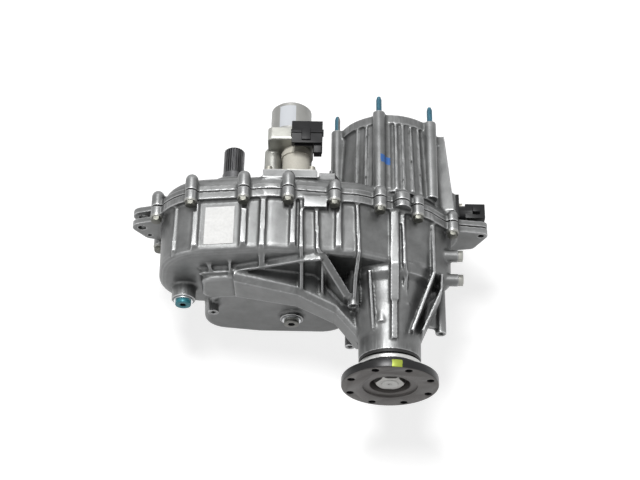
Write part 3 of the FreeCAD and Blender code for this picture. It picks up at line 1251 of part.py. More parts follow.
def motor_can():
    y0, y1, r = num("motor_rear_y"), num("motor_front_y"), num("motor_r")
    steps = [
        tube_y(r + 1.6, 0, y0, y0 + 2.4),
        tube_y(r, 0, y0, y1 - 4),
        cone_y(r, r - 3, y1 - 4, y1 - 1),
        cone_y(r - 3, r - 9, y1 - 1, y1),
        tube_y(8, 0, y1 - 1, y1 + 2.2),
    ]
    solid = united(steps).cut([tube_y(r - 1.5, 0, y0 - 1, y1 - 5),
                               tube_y(4 + num("running_gap"), 0, y1 - 6, y1 - 1)])
    solid.translate(Vector(motor_x, 0, motor_z))
    return solid


def motor_gear_housing():
    y0, y1 = num("gearhead_rear_y"), num("motor_rear_y")
    head = rounded_slab(GEARHEAD, y0, y1, 0, 0, 3)
    # Body down to the case's motor pad with a bulge on its left, and a foot with three ears
    body = belt_slab([(motor_x + dx, motor_z + dz, 8) for dx, dz in ((22, -16), (-22, -16), (-20, -37), (20, -37))],
                     motor_pad_y, y0 + 4)
    bulge = tube_y(12, 0, motor_pad_y + 8, y0 + 5, motor_x - 25, motor_z - 12)
    plate = belt_slab([(x, z, 8) for x, z in (motor_bolt_places[1], motor_bolt_places[0], motor_bolt_places[2])],
                      motor_pad_y, motor_pad_y + foot_thick)
    solid = united(head + [body, bulge, plate])
    seat_y = motor_pad_y + foot_thick
    cuts = [
        tube_y(num("sensor_r") + 2.5, 0, seat_y, y0, selector_x, selector_z),
        tube_y(num("cam_shaft_r") + num("running_gap"), 0, motor_pad_y - 1, seat_y + 1, selector_x, selector_z),
        tube_y(num("motor_r") - 5, 0, y1 - 12, y1 + 1, motor_x, motor_z),
    ]
    cuts += [tube_y(3.3, 0, motor_pad_y - 1, seat_y + 1, x, z) for x, z in motor_bolt_places]
    cuts += [tube_y(7, 0, seat_y, seat_y + 8, x, z) for x, z in motor_bolt_places]
    return solid.cut(cuts).removeSplitter()


add_feature("motor_can", motor_can())
add_feature("motor_gear_housing", motor_gear_housing())
turned("motor_sensor_housing", [("sensor_r", "gearhead_rear_y - 41", "gearhead_rear_y"),
                                ("sensor_r + 1.8", "gearhead_rear_y - 12", "gearhead_rear_y - 4")],
       [("cam_shaft_r + 0.3", "gearhead_rear_y - 42", "gearhead_rear_y - 39.5")], "selector_x", "selector_z")
turned("motor_armature", [("motor_r - 5.5", "motor_rear_y + 6", "motor_front_y - 12"),
                          ("4", "motor_rear_y - 10", "motor_front_y - 2")], (), "motor_x", "motor_z")


def motor_connector():
    """Moulded socket on top of the motor gear housing, mouth to the rear, with a cable neck on its right."""
    low = motor_z + gearhead_half + 0.02
    side = motor_x + gearhead_half + 0.02
    right = motor_x + 45
    shell = block(motor_x + 2, right, -78, -42, low, low + 10)
    cheek = block(side, right, -72, -46, motor_z + 4, low + 5)
    collar = block(motor_x + 1, right + 1.5, -62, -57, low, low + 12)
    neck = block(side + 1, right - 1, -90, -76, low - 8, low + 4)
    latch = block(motor_x + 16, motor_x + 28, -74, -54, low + 9, low + 13)
    mouth = block(motor_x + 6, side, -79, -68, low + 2, low + 8)
    return united([shell, cheek, collar, neck, latch]).cut(mouth)


add_feature("motor_connector", motor_connector())


def flange_screw(start, direction, length):
    """Small screw with a washer face; start is the seat, direction points into the work."""
    direction = Vector(*direction)
    start = Vector(*start)
    shank = Part.makeCylinder(3, length, start, direction)
    washer = Part.makeCylinder(6.4, 1.6, start - direction * 1.6, direction)
    head = Part.makeCylinder(4.8, 5, start - direction * 6.6, direction)
    socket = Part.makeCylinder(2.4, 3, start - direction * 6.7, direction)
    return united([shank, washer, head]).cut(socket)


add_feature("accessory_bolts", Part.Compound(
    [flange_screw((x, motor_pad_y + foot_thick, z), (0, -1, 0), 18) for x, z in motor_bolt_places]
    + [flange_screw((sensor_face_x + 5, sensor_y + 14, sensor_z - 8), (-1, 0, 0), 15)]))


def speed_sensor():
    """Moulded sensor with its connector, bolted to the right of the front half."""
    x0, y, z = sensor_face_x, sensor_y, sensor_z
    foot = block(x0, x0 + 5, y - 17, y + 21, z - 15, z + 15)
    body = Part.makeCylinder(12, 22, Vector(x0 + 2, y - 4, z + 1), Vector(1, 0, 0))
    plug = block(x0 + 14, x0 + 42, y - 16, y + 7, z - 10, z + 12)
    mouth = block(x0 + 30, x0 + 43, y - 13, y + 4, z - 7, z + 9)
    latch = block(x0 + 24, x0 + 34, y - 9, y, z + 11, z + 19)
    hole = Part.makeCylinder(3.3, 8, Vector(x0 - 1, y + 14, z - 8), Vector(1, 0, 0))
    return united([foot, body, plug, latch]).cut([mouth, hole])


add_feature("speed_sensor", speed_sensor())

# Clutch actuation and oil pump


def pressure_plate():
    y0 = num("pressure_plate_rear_y")
    return tube_y(plate_outer - 0.5, num("hub_r") + 0.5, y0, y0 + num("pressure_plate_thick"))


add_feature("pressure_plate", pressure_plate())


def ball_ramp_ring():
    y0 = num("ramp_ring_rear_y")
    y1 = y0 + num("ramp_ring_thick")
    ring_body = tube_y(48, 24, y0, y1)
    lug = block(-6, 6, y0, y1, 40, 57)
    return united([ring_body, lug])


def ball_ramp_base():
    y1 = ramp_seat_y
    y0 = y1 - num("ramp_base_thick")
    base = tube_y(pump_bore_r - 0.02, 24, y0, y1)
    ramps = [tube_y(4, 0, y1 - 1, num("ramp_ring_rear_y") - gap, 36 * cos(a), 36 * sin(a))
             for a in (pi / 2, pi * 7 / 6, pi * 11 / 6)]
    return united([base] + ramps)


add_feature("ball_ramp_ring", ball_ramp_ring())
add_feature("ball_ramp_base", ball_ramp_base())
turned("oil_pump_housing", [("pump_r - 0.02", "-284.5", "-284.5 + pump_len")],
       [("pump_rotor_r - 4.5", "-282.3", "-271.7"), ("shaft_body_r + 0.5", "-290", "-265")])


def oil_pickup():
    """Suction pipe from the strainer in the sump to the oil way in the rear wall."""
    strainer = block(pickup_x - 17, pickup_x + 17, -216, -160, sump_level + 22, sump_level + 31)
    riser = Part.makeCylinder(4, pickup_z - sump_level - 28, Vector(pickup_x, -205, sump_level + 28),
                              Vector(0, 0, 1))
    elbow = Part.makeSphere(4, Vector(pickup_x, -205, pickup_z))
    return united([strainer, riser, elbow, tube_y(4, 0, sump_floor_y - 3, -205, pickup_x, pickup_z)])


add_feature("oil_pickup", oil_pickup())
add_feature("sump_magnet", tube_y(12, 4, sump_floor_y, sump_floor_y + 6, -172, -92))
front_wall = "-face_to_joint + joint_to_front_wall"
turned("vent_fitting", [("5", f"{front_wall} - 5", f"{front_wall} + 2"), ("7", front_wall, f"{front_wall} + 5"),
                        ("3.5", f"{front_wall} + 4", f"{front_wall} + 20")],
       [("1.5", f"{front_wall} - 6", f"{front_wall} + 21")], "vent_x", "vent_z")


def blank_label():
    """Plain identification label stuck on the curved wall, left bare."""
    thick = 0.4
    y0, y1 = shoulder_y + num("edge_round"), joint_y - num("rear_lip_thick")
    skin = belt_slab(CASE_BELT, y0, y1, body_offset - 2 + thick, body_offset + thick)
    wall_form = belt_slab(CASE_BELT, y0, y1, body_offset - 2, body_offset)
    return skin.common(block(-255, -215, -230, -173, 60, 130)).cut(wall_form)


add_feature("blank_label", blank_label())


doc.recompute()
for item in doc.Objects:
    bad = [word for word in item.State if word in ("Invalid", "Error")]
    if bad:
        raise RuntimeError(f"{item.Label} failed: {item.State}")
os.makedirs("parts", exist_ok=True)
for item in pieces:
    shape = item.Shape
    if shape.isNull() or not shape.isValid() or not shape.Solids:
        raise RuntimeError(f"{item.Label} has no valid shape")
    shape.exportStep(f"parts/{item.Label}.step")
    print(item.Label, len(shape.Solids), round(shape.Volume))
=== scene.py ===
from math import cos, pi, radians, sin

import bmesh
import bpy
from mathutils import Matrix, Vector


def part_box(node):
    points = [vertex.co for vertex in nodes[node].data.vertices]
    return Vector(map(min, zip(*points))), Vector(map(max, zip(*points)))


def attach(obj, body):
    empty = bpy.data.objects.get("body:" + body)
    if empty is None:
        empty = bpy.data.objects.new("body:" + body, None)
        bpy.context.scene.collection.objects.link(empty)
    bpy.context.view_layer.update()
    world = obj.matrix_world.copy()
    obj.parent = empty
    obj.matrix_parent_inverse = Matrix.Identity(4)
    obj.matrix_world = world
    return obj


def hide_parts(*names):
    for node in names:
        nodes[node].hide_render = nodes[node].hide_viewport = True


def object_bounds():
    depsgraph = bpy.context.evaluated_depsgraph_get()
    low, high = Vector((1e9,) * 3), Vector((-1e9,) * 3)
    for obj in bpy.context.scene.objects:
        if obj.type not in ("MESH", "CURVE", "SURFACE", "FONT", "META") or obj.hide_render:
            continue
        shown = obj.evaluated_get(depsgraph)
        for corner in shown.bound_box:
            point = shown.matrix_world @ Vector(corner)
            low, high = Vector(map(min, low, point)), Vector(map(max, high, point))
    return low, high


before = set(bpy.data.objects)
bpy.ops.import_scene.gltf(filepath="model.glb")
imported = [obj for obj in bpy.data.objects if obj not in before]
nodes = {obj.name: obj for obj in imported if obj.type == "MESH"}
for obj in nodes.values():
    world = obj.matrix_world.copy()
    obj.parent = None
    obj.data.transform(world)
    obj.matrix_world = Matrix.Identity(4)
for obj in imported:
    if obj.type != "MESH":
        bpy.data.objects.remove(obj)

cad_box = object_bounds()
scene = bpy.context.scene

# Camera: the unit is seen from behind and high above, with the output flange nearest.
# Its place comes from the flange's middle, the height it looks down from and the distance to the flange.
flange_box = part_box("output_flange")
flange_middle = Vector((0, flange_box[0][1], 0))
picture_width, picture_height = 640, 480
flange_pixel = (390, 387)
lens_pixels = 1350
flange_distance = 1.8184
look_down = radians(60.486)
camera_roll = radians(1.057)

forward = Vector((0, cos(look_down), -sin(look_down)))
level_right = Vector((1, 0, 0))
level_up = level_right.cross(forward)
right = cos(camera_roll) * level_right + sin(camera_roll) * level_up
up = -sin(camera_roll) * level_right + cos(camera_roll) * level_up
across = (flange_pixel[0] - picture_width / 2) / lens_pixels
above = (picture_height / 2 - flange_pixel[1]) / lens_pixels
camera = bpy.data.objects.new("camera", bpy.data.cameras.new("camera"))
camera.data.sensor_width = 36
camera.data.lens = camera.data.sensor_width * lens_pixels / picture_width
camera.matrix_world = Matrix((
    (right.x, up.x, -forward.x, 0),
    (right.y, up.y, -forward.y, 0),
    (right.z, up.z, -forward.z, 0),
    (0, 0, 0, 1)))
camera.location = flange_middle - flange_distance * (forward + across * right + above * up)
scene.collection.objects.link(camera)
scene.camera = camera
scene.view_settings.view_transform = "Standard"


# Floor: a wide white paper sheet just under the unit's lowest point.
# Its glow is for the eye alone, so the picture's ground is white and the unit gets no more light from it.
class Wire:
    """One output of a shader node: arithmetic on it adds Math nodes, and node() adds any other node."""

    def __init__(self, tree, socket=None):
        self.tree, self.socket = tree, socket

    def node(self, kind, settings=None, output=0, **values):
        made = self.tree.nodes.new("ShaderNode" + kind)
        for name, setting in (settings or {}).items():
            setattr(made, name, setting)
        for name, value in values.items():
            names = {name, name.replace("_", " ")}
            socket = next(s for s in made.inputs if s.enabled and names & {s.name, s.identifier})
            if isinstance(value, Wire):
                self.tree.links.new(value.socket, socket)
            else:
                socket.default_value = value
        return Wire(self.tree, made.outputs[output] if made.outputs else None)

    def math(self, operation, *terms):
        made = self.tree.nodes.new("ShaderNodeMath")
        made.operation = operation
        for term, socket in zip(terms, made.inputs):
            if isinstance(term, Wire):
                self.tree.links.new(term.socket, socket)
            else:
                socket.default_value = term
        return Wire(self.tree, made.outputs[0])

    def __add__(self, other):
        return self.math("ADD", self, other)

    __radd__ = __add__

    def __mul__(self, other):
        return self.math("MULTIPLY", self, other)

    __rmul__ = __mul__

    def __sub__(self, other):
        return self.math("SUBTRACT", self, other)

    def __rsub__(self, other):
        return self.math("SUBTRACT", other, self)

    def clamped(self):
        return self.node("Clamp", Value=self)

    def within(self, low, high, soft):
        """A mask of 1 between low and high, fading over the width soft."""
        return ((self - low) * (1 / soft)).clamped() * ((high - self) * (1 / soft)).clamped()

    def below(self, high, soft):
        """A mask of 1 under high, fading over the width soft."""
        return ((high - self) * (1 / soft)).clamped()

    def axes(self):
        """The three parts of a vector."""
        split = self.node("SeparateXYZ", Vector=self).socket.node
        return [Wire(self.tree, part) for part in split.outputs]

    def blend(self, amount, first, second):
        """Colour that goes from the first to the second."""
        return self.node("Mix", {"data_type": "RGBA"}, 2, Factor=amount, A=first, B=second)


def seen_by_eye(start):
    """1 where the camera or a mirror looks, 0 where light bounces."""
    path = start.node("LightPath")
    glossy = Wire(start.tree, path.socket.node.outputs["Is Glossy Ray"])
    return (path + glossy).clamped()


floor_z = cad_box[0].z - 0.001
floor_half = 6.0
sheet = bmesh.new()
bmesh.ops.create_grid(sheet, x_segments=1, y_segments=1, size=floor_half,
                      matrix=Matrix.Translation((0, 0, floor_z)))
floor = bpy.data.objects.new("floor", bpy.data.meshes.new("floor"))
sheet.to_mesh(floor.data)
sheet.free()
scene.collection.objects.link(floor)
paper = bpy.data.materials.new("white_paper")
paper.use_nodes = True
paper.node_tree.nodes.clear()
start = Wire(paper.node_tree)
paper_tone, paper_glow = 0.45, 0.76
matt = start.node("BsdfDiffuse", Color=(paper_tone, paper_tone, paper_tone, 1))
glow = start.node("Emission", Color=(1, 1, 1, 1), Strength=paper_glow)
bright = start.node("AddShader", Shader=matt, Shader_001=glow)
sheet_look = start.node("MixShader", Fac=seen_by_eye(start), Shader=matt, Shader_001=bright)
start.node("OutputMaterial", Surface=sheet_look)
floor.data.materials.append(paper)

# Studio light: a large soft lamp overhead, a weaker one on the left and a faint one on the right.
# The room round it is dim, and white to the eye.
room = bpy.data.worlds.new("studio")
room.use_nodes = True
room.node_tree.nodes.clear()
scene.world = room
start = Wire(room.node_tree)
room_level = 0.1
room_look = start.node("Background", Color=(1, 1, 1, 1),
                       Strength=seen_by_eye(start) * (1 - room_level) + room_level)
start.node("OutputWorld", Surface=room_look)
unit_middle = (cad_box[0] + cad_box[1]) / 2
lamps = (
    ("overhead", (-0.4, 0.2, 2.1), 0.8, 44),
    ("left_fill", (-1.7, -1.5, 1.0), 0.6, 7),
    ("right_fill", (1.9, -1.0, 0.8), 1.0, 3),
)
for name, place, width, watts in lamps:
    lamp = bpy.data.objects.new(name, bpy.data.lights.new(name, "AREA"))
    lamp.data.shape = "DISK"
    lamp.data.size = width
    lamp.data.energy = watts
    lamp.location = place
    lamp.rotation_euler = (unit_middle - Vector(place)).to_track_quat("-Z", "Y").to_euler()
    scene.collection.objects.link(lamp)


# Rear and front half of the case: die cast aluminium with a shot-blasted skin and rounded ribs and corners.
# Each half is one casting, machined on the joint, the bolt seats and the gearbox face; a copy of the plain
# casting has its inner corners filled and its outer ones softened.
def surface(name):
    """A new material: its tree and the coordinates of the piece."""
    made = bpy.data.materials.new(name)
    made.use_nodes = True
    made.node_tree.nodes.clear()
    start = Wire(made.node_tree)
    return made, start, start.node("TexCoord", output=3)


def cast_metal(name, base, shade, edge, paint=None):
    """Cast alloy: painted shade in the corners and hollows, a painted highlight on the sharp edges, with a
    fine skin and soft blotches.

    paint is a ragged mark, given as its colour and its lowest and highest corner.
    """
    made, start, where = surface(name)
    skin = start.node("TexNoise", Vector=where, Scale=1300.0, Detail=2.0)
    flow = start.node("TexNoise", Vector=where, Scale=42.0, Detail=5.0, Roughness=0.65)
    stain = start.node("TexNoise", Vector=where, Scale=11.0, Detail=2.0)
    bend = start.node("NewGeometry", output=7)
    sharp = start.node("MapRange", Value=bend, From_Min=0.503, From_Max=0.55)
    hollow = start.node("MapRange", Value=bend, From_Min=0.497, From_Max=0.42)
    tone = start.blend((flow * 1.4 - 0.35 + stain * 0.3).clamped(), (*shade, 1), (*base, 1))
    # Painted shade: hollows and inner corners are darkened in the colour itself.
    shade_in_hollows = start.blend(hollow * 0.9, tone, (*(0.25 * c for c in shade), 1))
    # Painted highlight: sharp outer edges are lightened towards the edge colour in the colour itself.
    highlit_tone = start.blend(sharp * 0.7, shade_in_hollows, (*edge, 1))
    if paint:
        colour, low, high = paint
        x, y, z = where.axes()
        ragged = flow * 0.014 - 0.007
        mark = (x + ragged).within(low[0], high[0], 0.001) * (y - ragged).within(low[1], high[1], 0.0012)
        highlit_tone = start.blend(mark * z.within(low[2], high[2], 0.001) * 0.85, highlit_tone, (*colour, 1))
    bump = start.node("Bump", Strength=0.45, Distance=0.00014, Height=skin + flow * 3.0)
    shader = start.node("BsdfPrincipled", Base_Color=highlit_tone, Metallic=0.8, Normal=bump,
                        Roughness=flow * 0.25 + hollow * 0.2 + 0.28 - sharp * 0.06)
    start.node("OutputMaterial", Surface=shader)
    return made


def rounded_copy(name, node, voxel, fillet, smooth, triangles):
    """A copy of a plain casting with filled inner corners and softened outer ones."""
    shape = bmesh.new()
    shape.from_mesh(nodes[node].data)
    bmesh.ops.remove_doubles(shape, verts=shape.verts, dist=1e-5)
    mesh = bpy.data.meshes.new(name)
    shape.to_mesh(mesh)
    shape.free()
    piece = bpy.data.objects.new(name, mesh)
    scene.collection.objects.link(piece)
    for kind, settings in (
            ("DISPLACE", {"strength": fillet, "mid_level": 0}),
            ("REMESH", {"mode": "VOXEL", "voxel_size": voxel, "use_smooth_shade": True}),
            ("DISPLACE", {"strength": -fillet, "mid_level": 0}),
            ("SMOOTH", {"factor": 0.5, "iterations": smooth}),
            ("DECIMATE", {"ratio": 1.0})):
        step = piece.modifiers.new(kind.lower(), kind)
        for setting, value in settings.items():
            setattr(step, setting, value)
    graph = bpy.context.evaluated_depsgraph_get()
    step.show_viewport = False
    graph.update()
    full = piece.evaluated_get(graph).data
    count = sum(len(face.vertices) - 2 for face in full.polygons)
    step.show_viewport = True
    step.ratio = min(1.0, triangles / count)
    graph.update()
    finished = bpy.data.meshes.new_from_object(piece.evaluated_get(graph))
    piece.modifiers.clear()
    piece.data = finished
    for face in finished.polygons:
        face.use_smooth = True
    return piece


def fit_in_place(piece, material, node, body):
    """Give a copy its material and put it in the plain node's place."""
    piece.data.materials.clear()
    piece.data.materials.append(material)
    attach(piece, body)
    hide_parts(node)


# The third colour is a painted highlight for sharp edges.
case_base, case_shade, case_edge_highlight = (0.215, 0.218, 0.218), (0.1, 0.102, 0.101), (0.6, 0.605, 0.61)
rear_metal = cast_metal("rear_casting", case_base, case_shade, case_edge_highlight)
blue_paint = ((0.03, 0.13, 0.4), (-0.015, -0.088, 0.06), (0.0, -0.074, 0.09))
front_metal = cast_metal("front_casting", case_base, case_shade, case_edge_highlight, blue_paint)
castings = (("rear_casting", "rear_case", rear_metal), ("front_casting", "front_case", front_metal))
for name, node, material in castings:
    casting = rounded_copy(name, node, voxel=0.0014, fillet=0.001, smooth=3, triangles=195000)
    fit_in_place(casting, material, node, "housing")


# Sealing bead: black silicone laid on the joint, squeezed out a little when the halves are bolted together.
# It shows as a thin dark line round the whole unit.
def finish_nodes(material, *names):
    """Put a material on nodes that keep their own shape."""
    for name in names:
        for place in nodes[name].material_slots:
            place.material = material


def moulded(name, colour, rough=0.5, grain=500.0):
    """Moulded rubber or plastic with a fine texture and a slightly uneven tone."""
    made, start, where = surface(name)
    skin = start.node("TexNoise", Vector=where, Scale=grain, Detail=3.0)
    cloud = start.node("TexNoise", Vector=where, Scale=45.0, Detail=3.0)
    dark, light = ((*(share * c for c in colour), 1) for share in (0.7, 1.3))
    tone = start.blend(skin * 0.5 + cloud * 0.5, dark, light)
    bump = start.node("Bump", Strength=0.3, Distance=0.0001, Height=skin)
    shader = start.node("BsdfPrincipled", Base_Color=tone, Roughness=skin * 0.15 + cloud * 0.1 + rough - 0.12,
                        Specular_IOR_Level=0.25, Normal=bump)
    start.node("OutputMaterial", Surface=shader)
    return made


finish_nodes(moulded("sealant", (0.02, 0.02, 0.02), 0.55), "case_gasket")


# Case bolts: fifteen flange bolts of zinc plated steel, screwed into the front half from behind.
# The passivated heads are olive grey, and their pressed washers are rubbed bright at the rim.
def steel(name, colour, rough, metallic=0.9, dull=0.6, rub=None):
    """Turned or plated steel with fine lines and an uneven tone.

    rub is a bright band, given as its lowest and highest y and its colour.
    """
    made, start, where = surface(name)
    fine = start.node("TexNoise", Vector=where, Scale=420.0, Detail=3.0)
    cloud = start.node("TexNoise", Vector=where, Scale=70.0, Detail=4.0, Roughness=0.6)
    bend = start.node("NewGeometry", output=7)
    sharp = start.node("MapRange", Value=bend, From_Min=0.51, From_Max=0.6)
    tone = start.blend((cloud * 1.6 - 0.3).clamped(), (*(dull * c for c in colour), 1), (*colour, 1))
    # Painted highlight: sharp edges are lightened in the colour itself.
    tone = start.blend(sharp * 0.6, tone, (*(min(1.0, 1.7 * c) for c in colour), 1))
    if rub:
        low, high, bright = rub
        x, y, z = where.axes()
        tone = start.blend((y + fine * 0.0006).within(low, high, 0.0004) * 0.9, tone, (*bright, 1))
    bump = start.node("Bump", Strength=0.25, Distance=0.00005, Height=fine)
    shader = start.node("BsdfPrincipled", Base_Color=tone, Metallic=metallic, Normal=bump,
                        Roughness=fine * 0.16 + cloud * 0.14 + rough - 0.15)
    start.node("OutputMaterial", Surface=shader)
    return made


def softened_copy(name, node, width, material, body, steps=2):
    """A copy of a plain piece with its sharp edges rounded."""
    shape = bmesh.new()
    shape.from_mesh(nodes[node].data)
    bmesh.ops.remove_doubles(shape, verts=shape.verts, dist=1e-5)
    bmesh.ops.dissolve_limit(shape, angle_limit=radians(1), verts=shape.verts, edges=shape.edges)
    sharp = [edge for edge in shape.edges
             if len(edge.link_faces) == 2 and edge.calc_face_angle() > radians(32)]
    bmesh.ops.bevel(shape, geom=sharp, offset=width, offset_type="OFFSET", affect="EDGES", segments=steps,
                    profile=0.5, material=-1, clamp_overlap=True)
    mesh = bpy.data.meshes.new(name)
    shape.to_mesh(mesh)
    shape.free()
    piece = bpy.data.objects.new(name, mesh)
    scene.collection.objects.link(piece)
    for face in mesh.polygons:
        face.use_smooth = True
    mesh.set_sharp_from_angle(angle=radians(40))
    fit_in_place(piece, material, node, body)


bolt_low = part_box("case_bolts")[0][1]
bolt_head = 0.0058
washer = 0.0022
rub_low = bolt_low + bolt_head - 0.0002
rub_high = bolt_low + bolt_head + washer + 0.0005
bolt_zinc = steel("bolt_zinc", (0.13, 0.13, 0.115), 0.44, rub=(rub_low, rub_high, (0.35, 0.35, 0.33)))
softened_copy("case_bolt_heads", "case_bolts", 0.0004, bolt_zinc, "housing")
small_screw = steel("small_screws", (0.36, 0.35, 0.31), 0.4)
finish_nodes(small_screw, "accessory_bolts", "case_dowels")
side_plug_steel = steel("side_plugs", (0.3, 0.3, 0.28), 0.42)
softened_copy("side_hex_plugs", "side_plugs", 0.0005, side_plug_steel, "housing")


# Gearbox studs: six steel studs in the adapter's rim, rolled thread outside and a blue thread lock coating.
# The one on the left has lost its coating.
def coated_thread():
    """Steel blue coating over a rolled thread of 1.25 mm pitch; bare steel on the left."""
    made, start, where = surface("coated_thread")
    x, y, z = where.axes()
    cloud = start.node("TexNoise", Vector=where, Scale=160.0, Detail=3.0)
    pitch = 0.00125
    turns = start.math("SINE", y * (2 * pi / pitch))
    coat = start.blend(cloud, (0.03, 0.1, 0.15, 1), (0.07, 0.22, 0.3, 1))
    bare = start.blend(cloud, (0.18, 0.18, 0.17, 1), (0.38, 0.38, 0.36, 1))
    left_only = x.within(-0.075, -0.04, 0.002) * z.within(0.0, 0.2, 0.002)
    tone = start.blend(left_only, coat, bare)
    tone = start.blend((turns * 0.5 + 0.5) * 0.35, tone, (0.02, 0.03, 0.04, 1))
    bump = start.node("Bump", Strength=0.8, Distance=0.0004, Height=turns * 0.5 + 0.5)
    shader = start.node("BsdfPrincipled", Base_Color=tone, Metallic=0.6, Normal=bump,
                        Roughness=cloud * 0.2 + 0.3)
    start.node("OutputMaterial", Surface=shader)
    return made


finish_nodes(coated_thread(), "gearbox_studs")


# Oil plugs: the fill plug and the drain plug, turned steel with a hexagon socket in the head.
# The fill plug has a teal coating, and each plug seals on a soft aluminium washer.
def plug_finish():
    """Teal coating on the fill plug, plain zinc on the drain plug, painted shade inside the sockets of both.
    """
    made, start, where = surface("plug_finish")
    x, y, z = where.axes()
    cloud = start.node("TexNoise", Vector=where, Scale=140.0, Detail=3.0)
    teal = start.blend(cloud, (0.012, 0.11, 0.14, 1), (0.035, 0.22, 0.26, 1))
    zinc = start.blend(cloud, (0.12, 0.12, 0.11, 1), (0.28, 0.28, 0.26, 1))
    fill_plug = (-0.288, -0.2695, -0.012)
    drain_plug = (-0.137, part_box("oil_plugs")[0][1], -0.080)
    socket_r, socket_depth = 0.0053, 0.02
    tone = start.blend(x.below(-0.2, 0.001), zinc, teal)
    for middle_x, head_y, middle_z in (fill_plug, drain_plug):
        away_x, away_z = x - middle_x, z - middle_z
        away = start.math("SQRT", away_x * away_x + away_z * away_z)
        # Painted shade: the inside of each hexagon socket is painted near black.
        socket = away.below(socket_r, 0.0003) * y.within(head_y + 0.0006, head_y + socket_depth, 0.0004)
        tone = start.blend(socket, tone, (0.006, 0.006, 0.007, 1))
    bump = start.node("Bump", Strength=0.3, Distance=0.0001, Height=cloud)
    shader = start.node("BsdfPrincipled", Base_Color=tone, Metallic=0.4, Normal=bump,
                        Roughness=cloud * 0.2 + 0.32)
    start.node("OutputMaterial", Surface=shader)
    return made


softened_copy("oil_plug_heads", "oil_plugs", 0.0007, plug_finish(), "housing")
finish_nodes(steel("washer_alloy", (0.55, 0.56, 0.57), 0.35), "plug_washers")

# Bearings, gears and shafts inside: ground bearing steel and hardened gear steel, pressed and splined.
# The friction plates carry a brown lining; the fork and the oil pump's housing are cast alloy.
finish_nodes(steel("bearing_steel", (0.66, 0.66, 0.67), 0.25),
             "bearing_outer_races", "bearing_balls", "needle_bearing", "input_bearing_cone",
             "rear_bearing_cone", "front_bearing_cone", "snap_rings", "shift_rail", "planet_pins")
finish_nodes(steel("gear_steel", (0.4, 0.4, 0.41), 0.38),
             "ring_gear", "input_shaft", "planet_carrier", "planet_gear_1", "planet_gear_2",
             "planet_gear_3", "planet_gear_4", "clutch_hub", "pump_rotor", "drive_sprocket",
             "steel_plates", "driven_sprocket", "range_sleeve", "selector_cam", "motor_armature",
             "pressure_plate", "ball_ramp_ring", "ball_ramp_base", "drive_chain")
finish_nodes(steel("lining", (0.24, 0.15, 0.09), 0.7, 0.1), "friction_plates", "pilot_bushing")
finish_nodes(steel("magnet_iron", (0.15, 0.15, 0.15), 0.6, 0.5), "sump_magnet")
finish_nodes(steel("fork_alloy", (0.5, 0.5, 0.49), 0.45, 0.8), "range_fork", "oil_pump_housing", "oil_pickup")
finish_nodes(moulded("vent_plastic", (0.03, 0.03, 0.03)), "vent_fitting")


# Output shaft and flange: a forged and turned flange, phosphated black and browned on its face.
# It is splined on the shaft and held by one nut, and its rim carries a dab of yellow-green paint.
def turned_dark():
    """Phosphated forging with turning rings round the main axis and a dab of paint on the rim."""
    made, start, where = surface("turned_flange")
    x, y, z = where.axes()
    radius = start.math("SQRT", x * x + z * z)
    fine = start.node("TexNoise", Vector=where, Scale=500.0, Detail=3.0)
    cloud = start.node("TexNoise", Vector=where, Scale=55.0, Detail=4.0, Roughness=0.6)
    rings = start.math("SINE", radius * 9000.0)
    face_y = flange_middle.y
    plate_face = y.below(face_y + 0.0008, 0.0003)
    well = radius.below(0.045, 0.0004) * y.below(face_y + 0.017, 0.0004)
    face = (plate_face + well).clamped()
    tone = start.blend((cloud * 1.5 - 0.3).clamped(), (0.003, 0.003, 0.0035, 1), (0.012, 0.012, 0.013, 1))
    tone = start.blend(face * (cloud * 0.5 + 0.45), tone, (0.135, 0.125, 0.118, 1))
    dab = (x + cloud * 0.004).within(0.0005, 0.015, 0.0008) * z.within(0.055, 0.08, 0.001)
    dab = dab * radius.within(0.0653, 0.08, 0.0004)
    dab = dab * (y + cloud * 0.002).within(face_y + 0.0002, face_y + 0.0122, 0.0008)
    tone = start.blend(dab * 0.9, tone, (0.34, 0.41, 0.045, 1))
    bump = start.node("Bump", Strength=0.3, Distance=0.00006, Height=fine + rings * face * 0.7)
    shader = start.node("BsdfPrincipled", Base_Color=tone, Metallic=0.3, Normal=bump,
                        Roughness=fine * 0.12 + cloud * 0.15 + face * 0.1 + 0.2)
    start.node("OutputMaterial", Surface=shader)
    return made


softened_copy("turned_output_flange", "output_flange", 0.0006, turned_dark(), "main_shaft")
finish_nodes(steel("shaft_steel", (0.33, 0.33, 0.32), 0.45), "output_shaft")
plated = steel("bright_plating", (0.62, 0.62, 0.61), 0.32)
dull_plated = steel("nut_plating", (0.4, 0.395, 0.38), 0.4)
softened_copy("hex_flange_nut", "flange_nut", 0.0006, dull_plated, "main_shaft")
softened_copy("pressed_deflector", "dust_deflector", 0.0005, plated, "main_shaft")
finish_nodes(moulded("seal_rubber", (0.025, 0.025, 0.025), 0.5),
             "input_seal", "rear_output_seal", "front_output_seal")

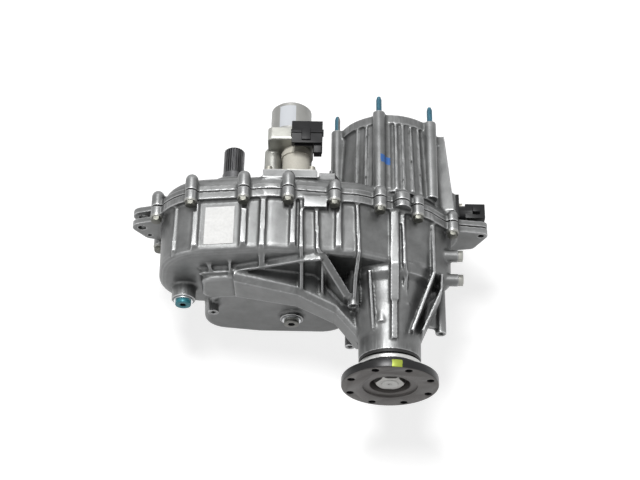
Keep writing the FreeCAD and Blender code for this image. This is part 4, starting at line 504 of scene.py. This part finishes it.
# Front output shaft: hardened splined end, dark from its oil, with a navy plastic ring at the seal.
# The front propeller shaft's joint slides on it.
finish_nodes(steel("oiled_steel", (0.16, 0.16, 0.165), 0.36, 0.85, 0.45), "front_output_shaft")
finish_nodes(moulded("navy_ring", (0.03, 0.08, 0.2), 0.4), "front_shaft_ring")


# Shift motor: a drawn steel can on a cast gear housing, with a bare paper label on top of the can.
# The housing is screwed to the pad on the front half; its sensor is cream plastic, its socket black plastic.
def can_metal():
    """Plated sheet steel with a bare white label stuck on the top of the can."""
    made, start, where = surface("can_metal")
    x, y, z = where.axes()
    fine = start.node("TexNoise", Vector=where, Scale=520.0, Detail=3.0)
    cloud = start.node("TexNoise", Vector=where, Scale=35.0, Detail=3.0)
    tone = start.blend(cloud, (0.24, 0.24, 0.23, 1), (0.38, 0.38, 0.365, 1))
    label = x.within(-0.158, -0.135, 0.0003) * y.within(-0.041, -0.006, 0.0003)
    label = label * z.within(0.08, 0.12, 0.001)
    tone = start.blend(label, tone, (0.55, 0.57, 0.6, 1))
    bump = start.node("Bump", Strength=0.2, Distance=0.0001, Height=fine * 0.3 + label)
    shader = start.node("BsdfPrincipled", Base_Color=tone, Metallic=(1 - label) * 0.75, Normal=bump,
                        Roughness=fine * 0.12 + label * 0.3 + 0.34)
    start.node("OutputMaterial", Surface=shader)
    return made


finish_nodes(can_metal(), "motor_can")
housing_metal = cast_metal("motor_casting", (0.44, 0.44, 0.41), (0.26, 0.26, 0.24), (0.62, 0.62, 0.6))
gear_housing = rounded_copy("gear_housing_casting", "motor_gear_housing", voxel=0.001, fillet=0.0008,
                            smooth=2, triangles=60000)
fit_in_place(gear_housing, housing_metal, "motor_gear_housing", "housing")
finish_nodes(moulded("cream_plastic", (0.52, 0.5, 0.44)), "motor_sensor_housing")
black_plastic = moulded("black_plastic", (0.009, 0.009, 0.01), 0.42)
softened_copy("motor_socket", "motor_connector", 0.0009, black_plastic, "housing", 3)
softened_copy("speed_sensor_body", "speed_sensor", 0.0009, black_plastic, "housing", 3)

# Identification label: plain paper under clear film, stuck on the curved wall of the rear half.
# It is bare, and handling has greyed it a little.
finish_nodes(moulded("label_paper", (0.72, 0.72, 0.71), 0.5, 260.0), "blank_label")
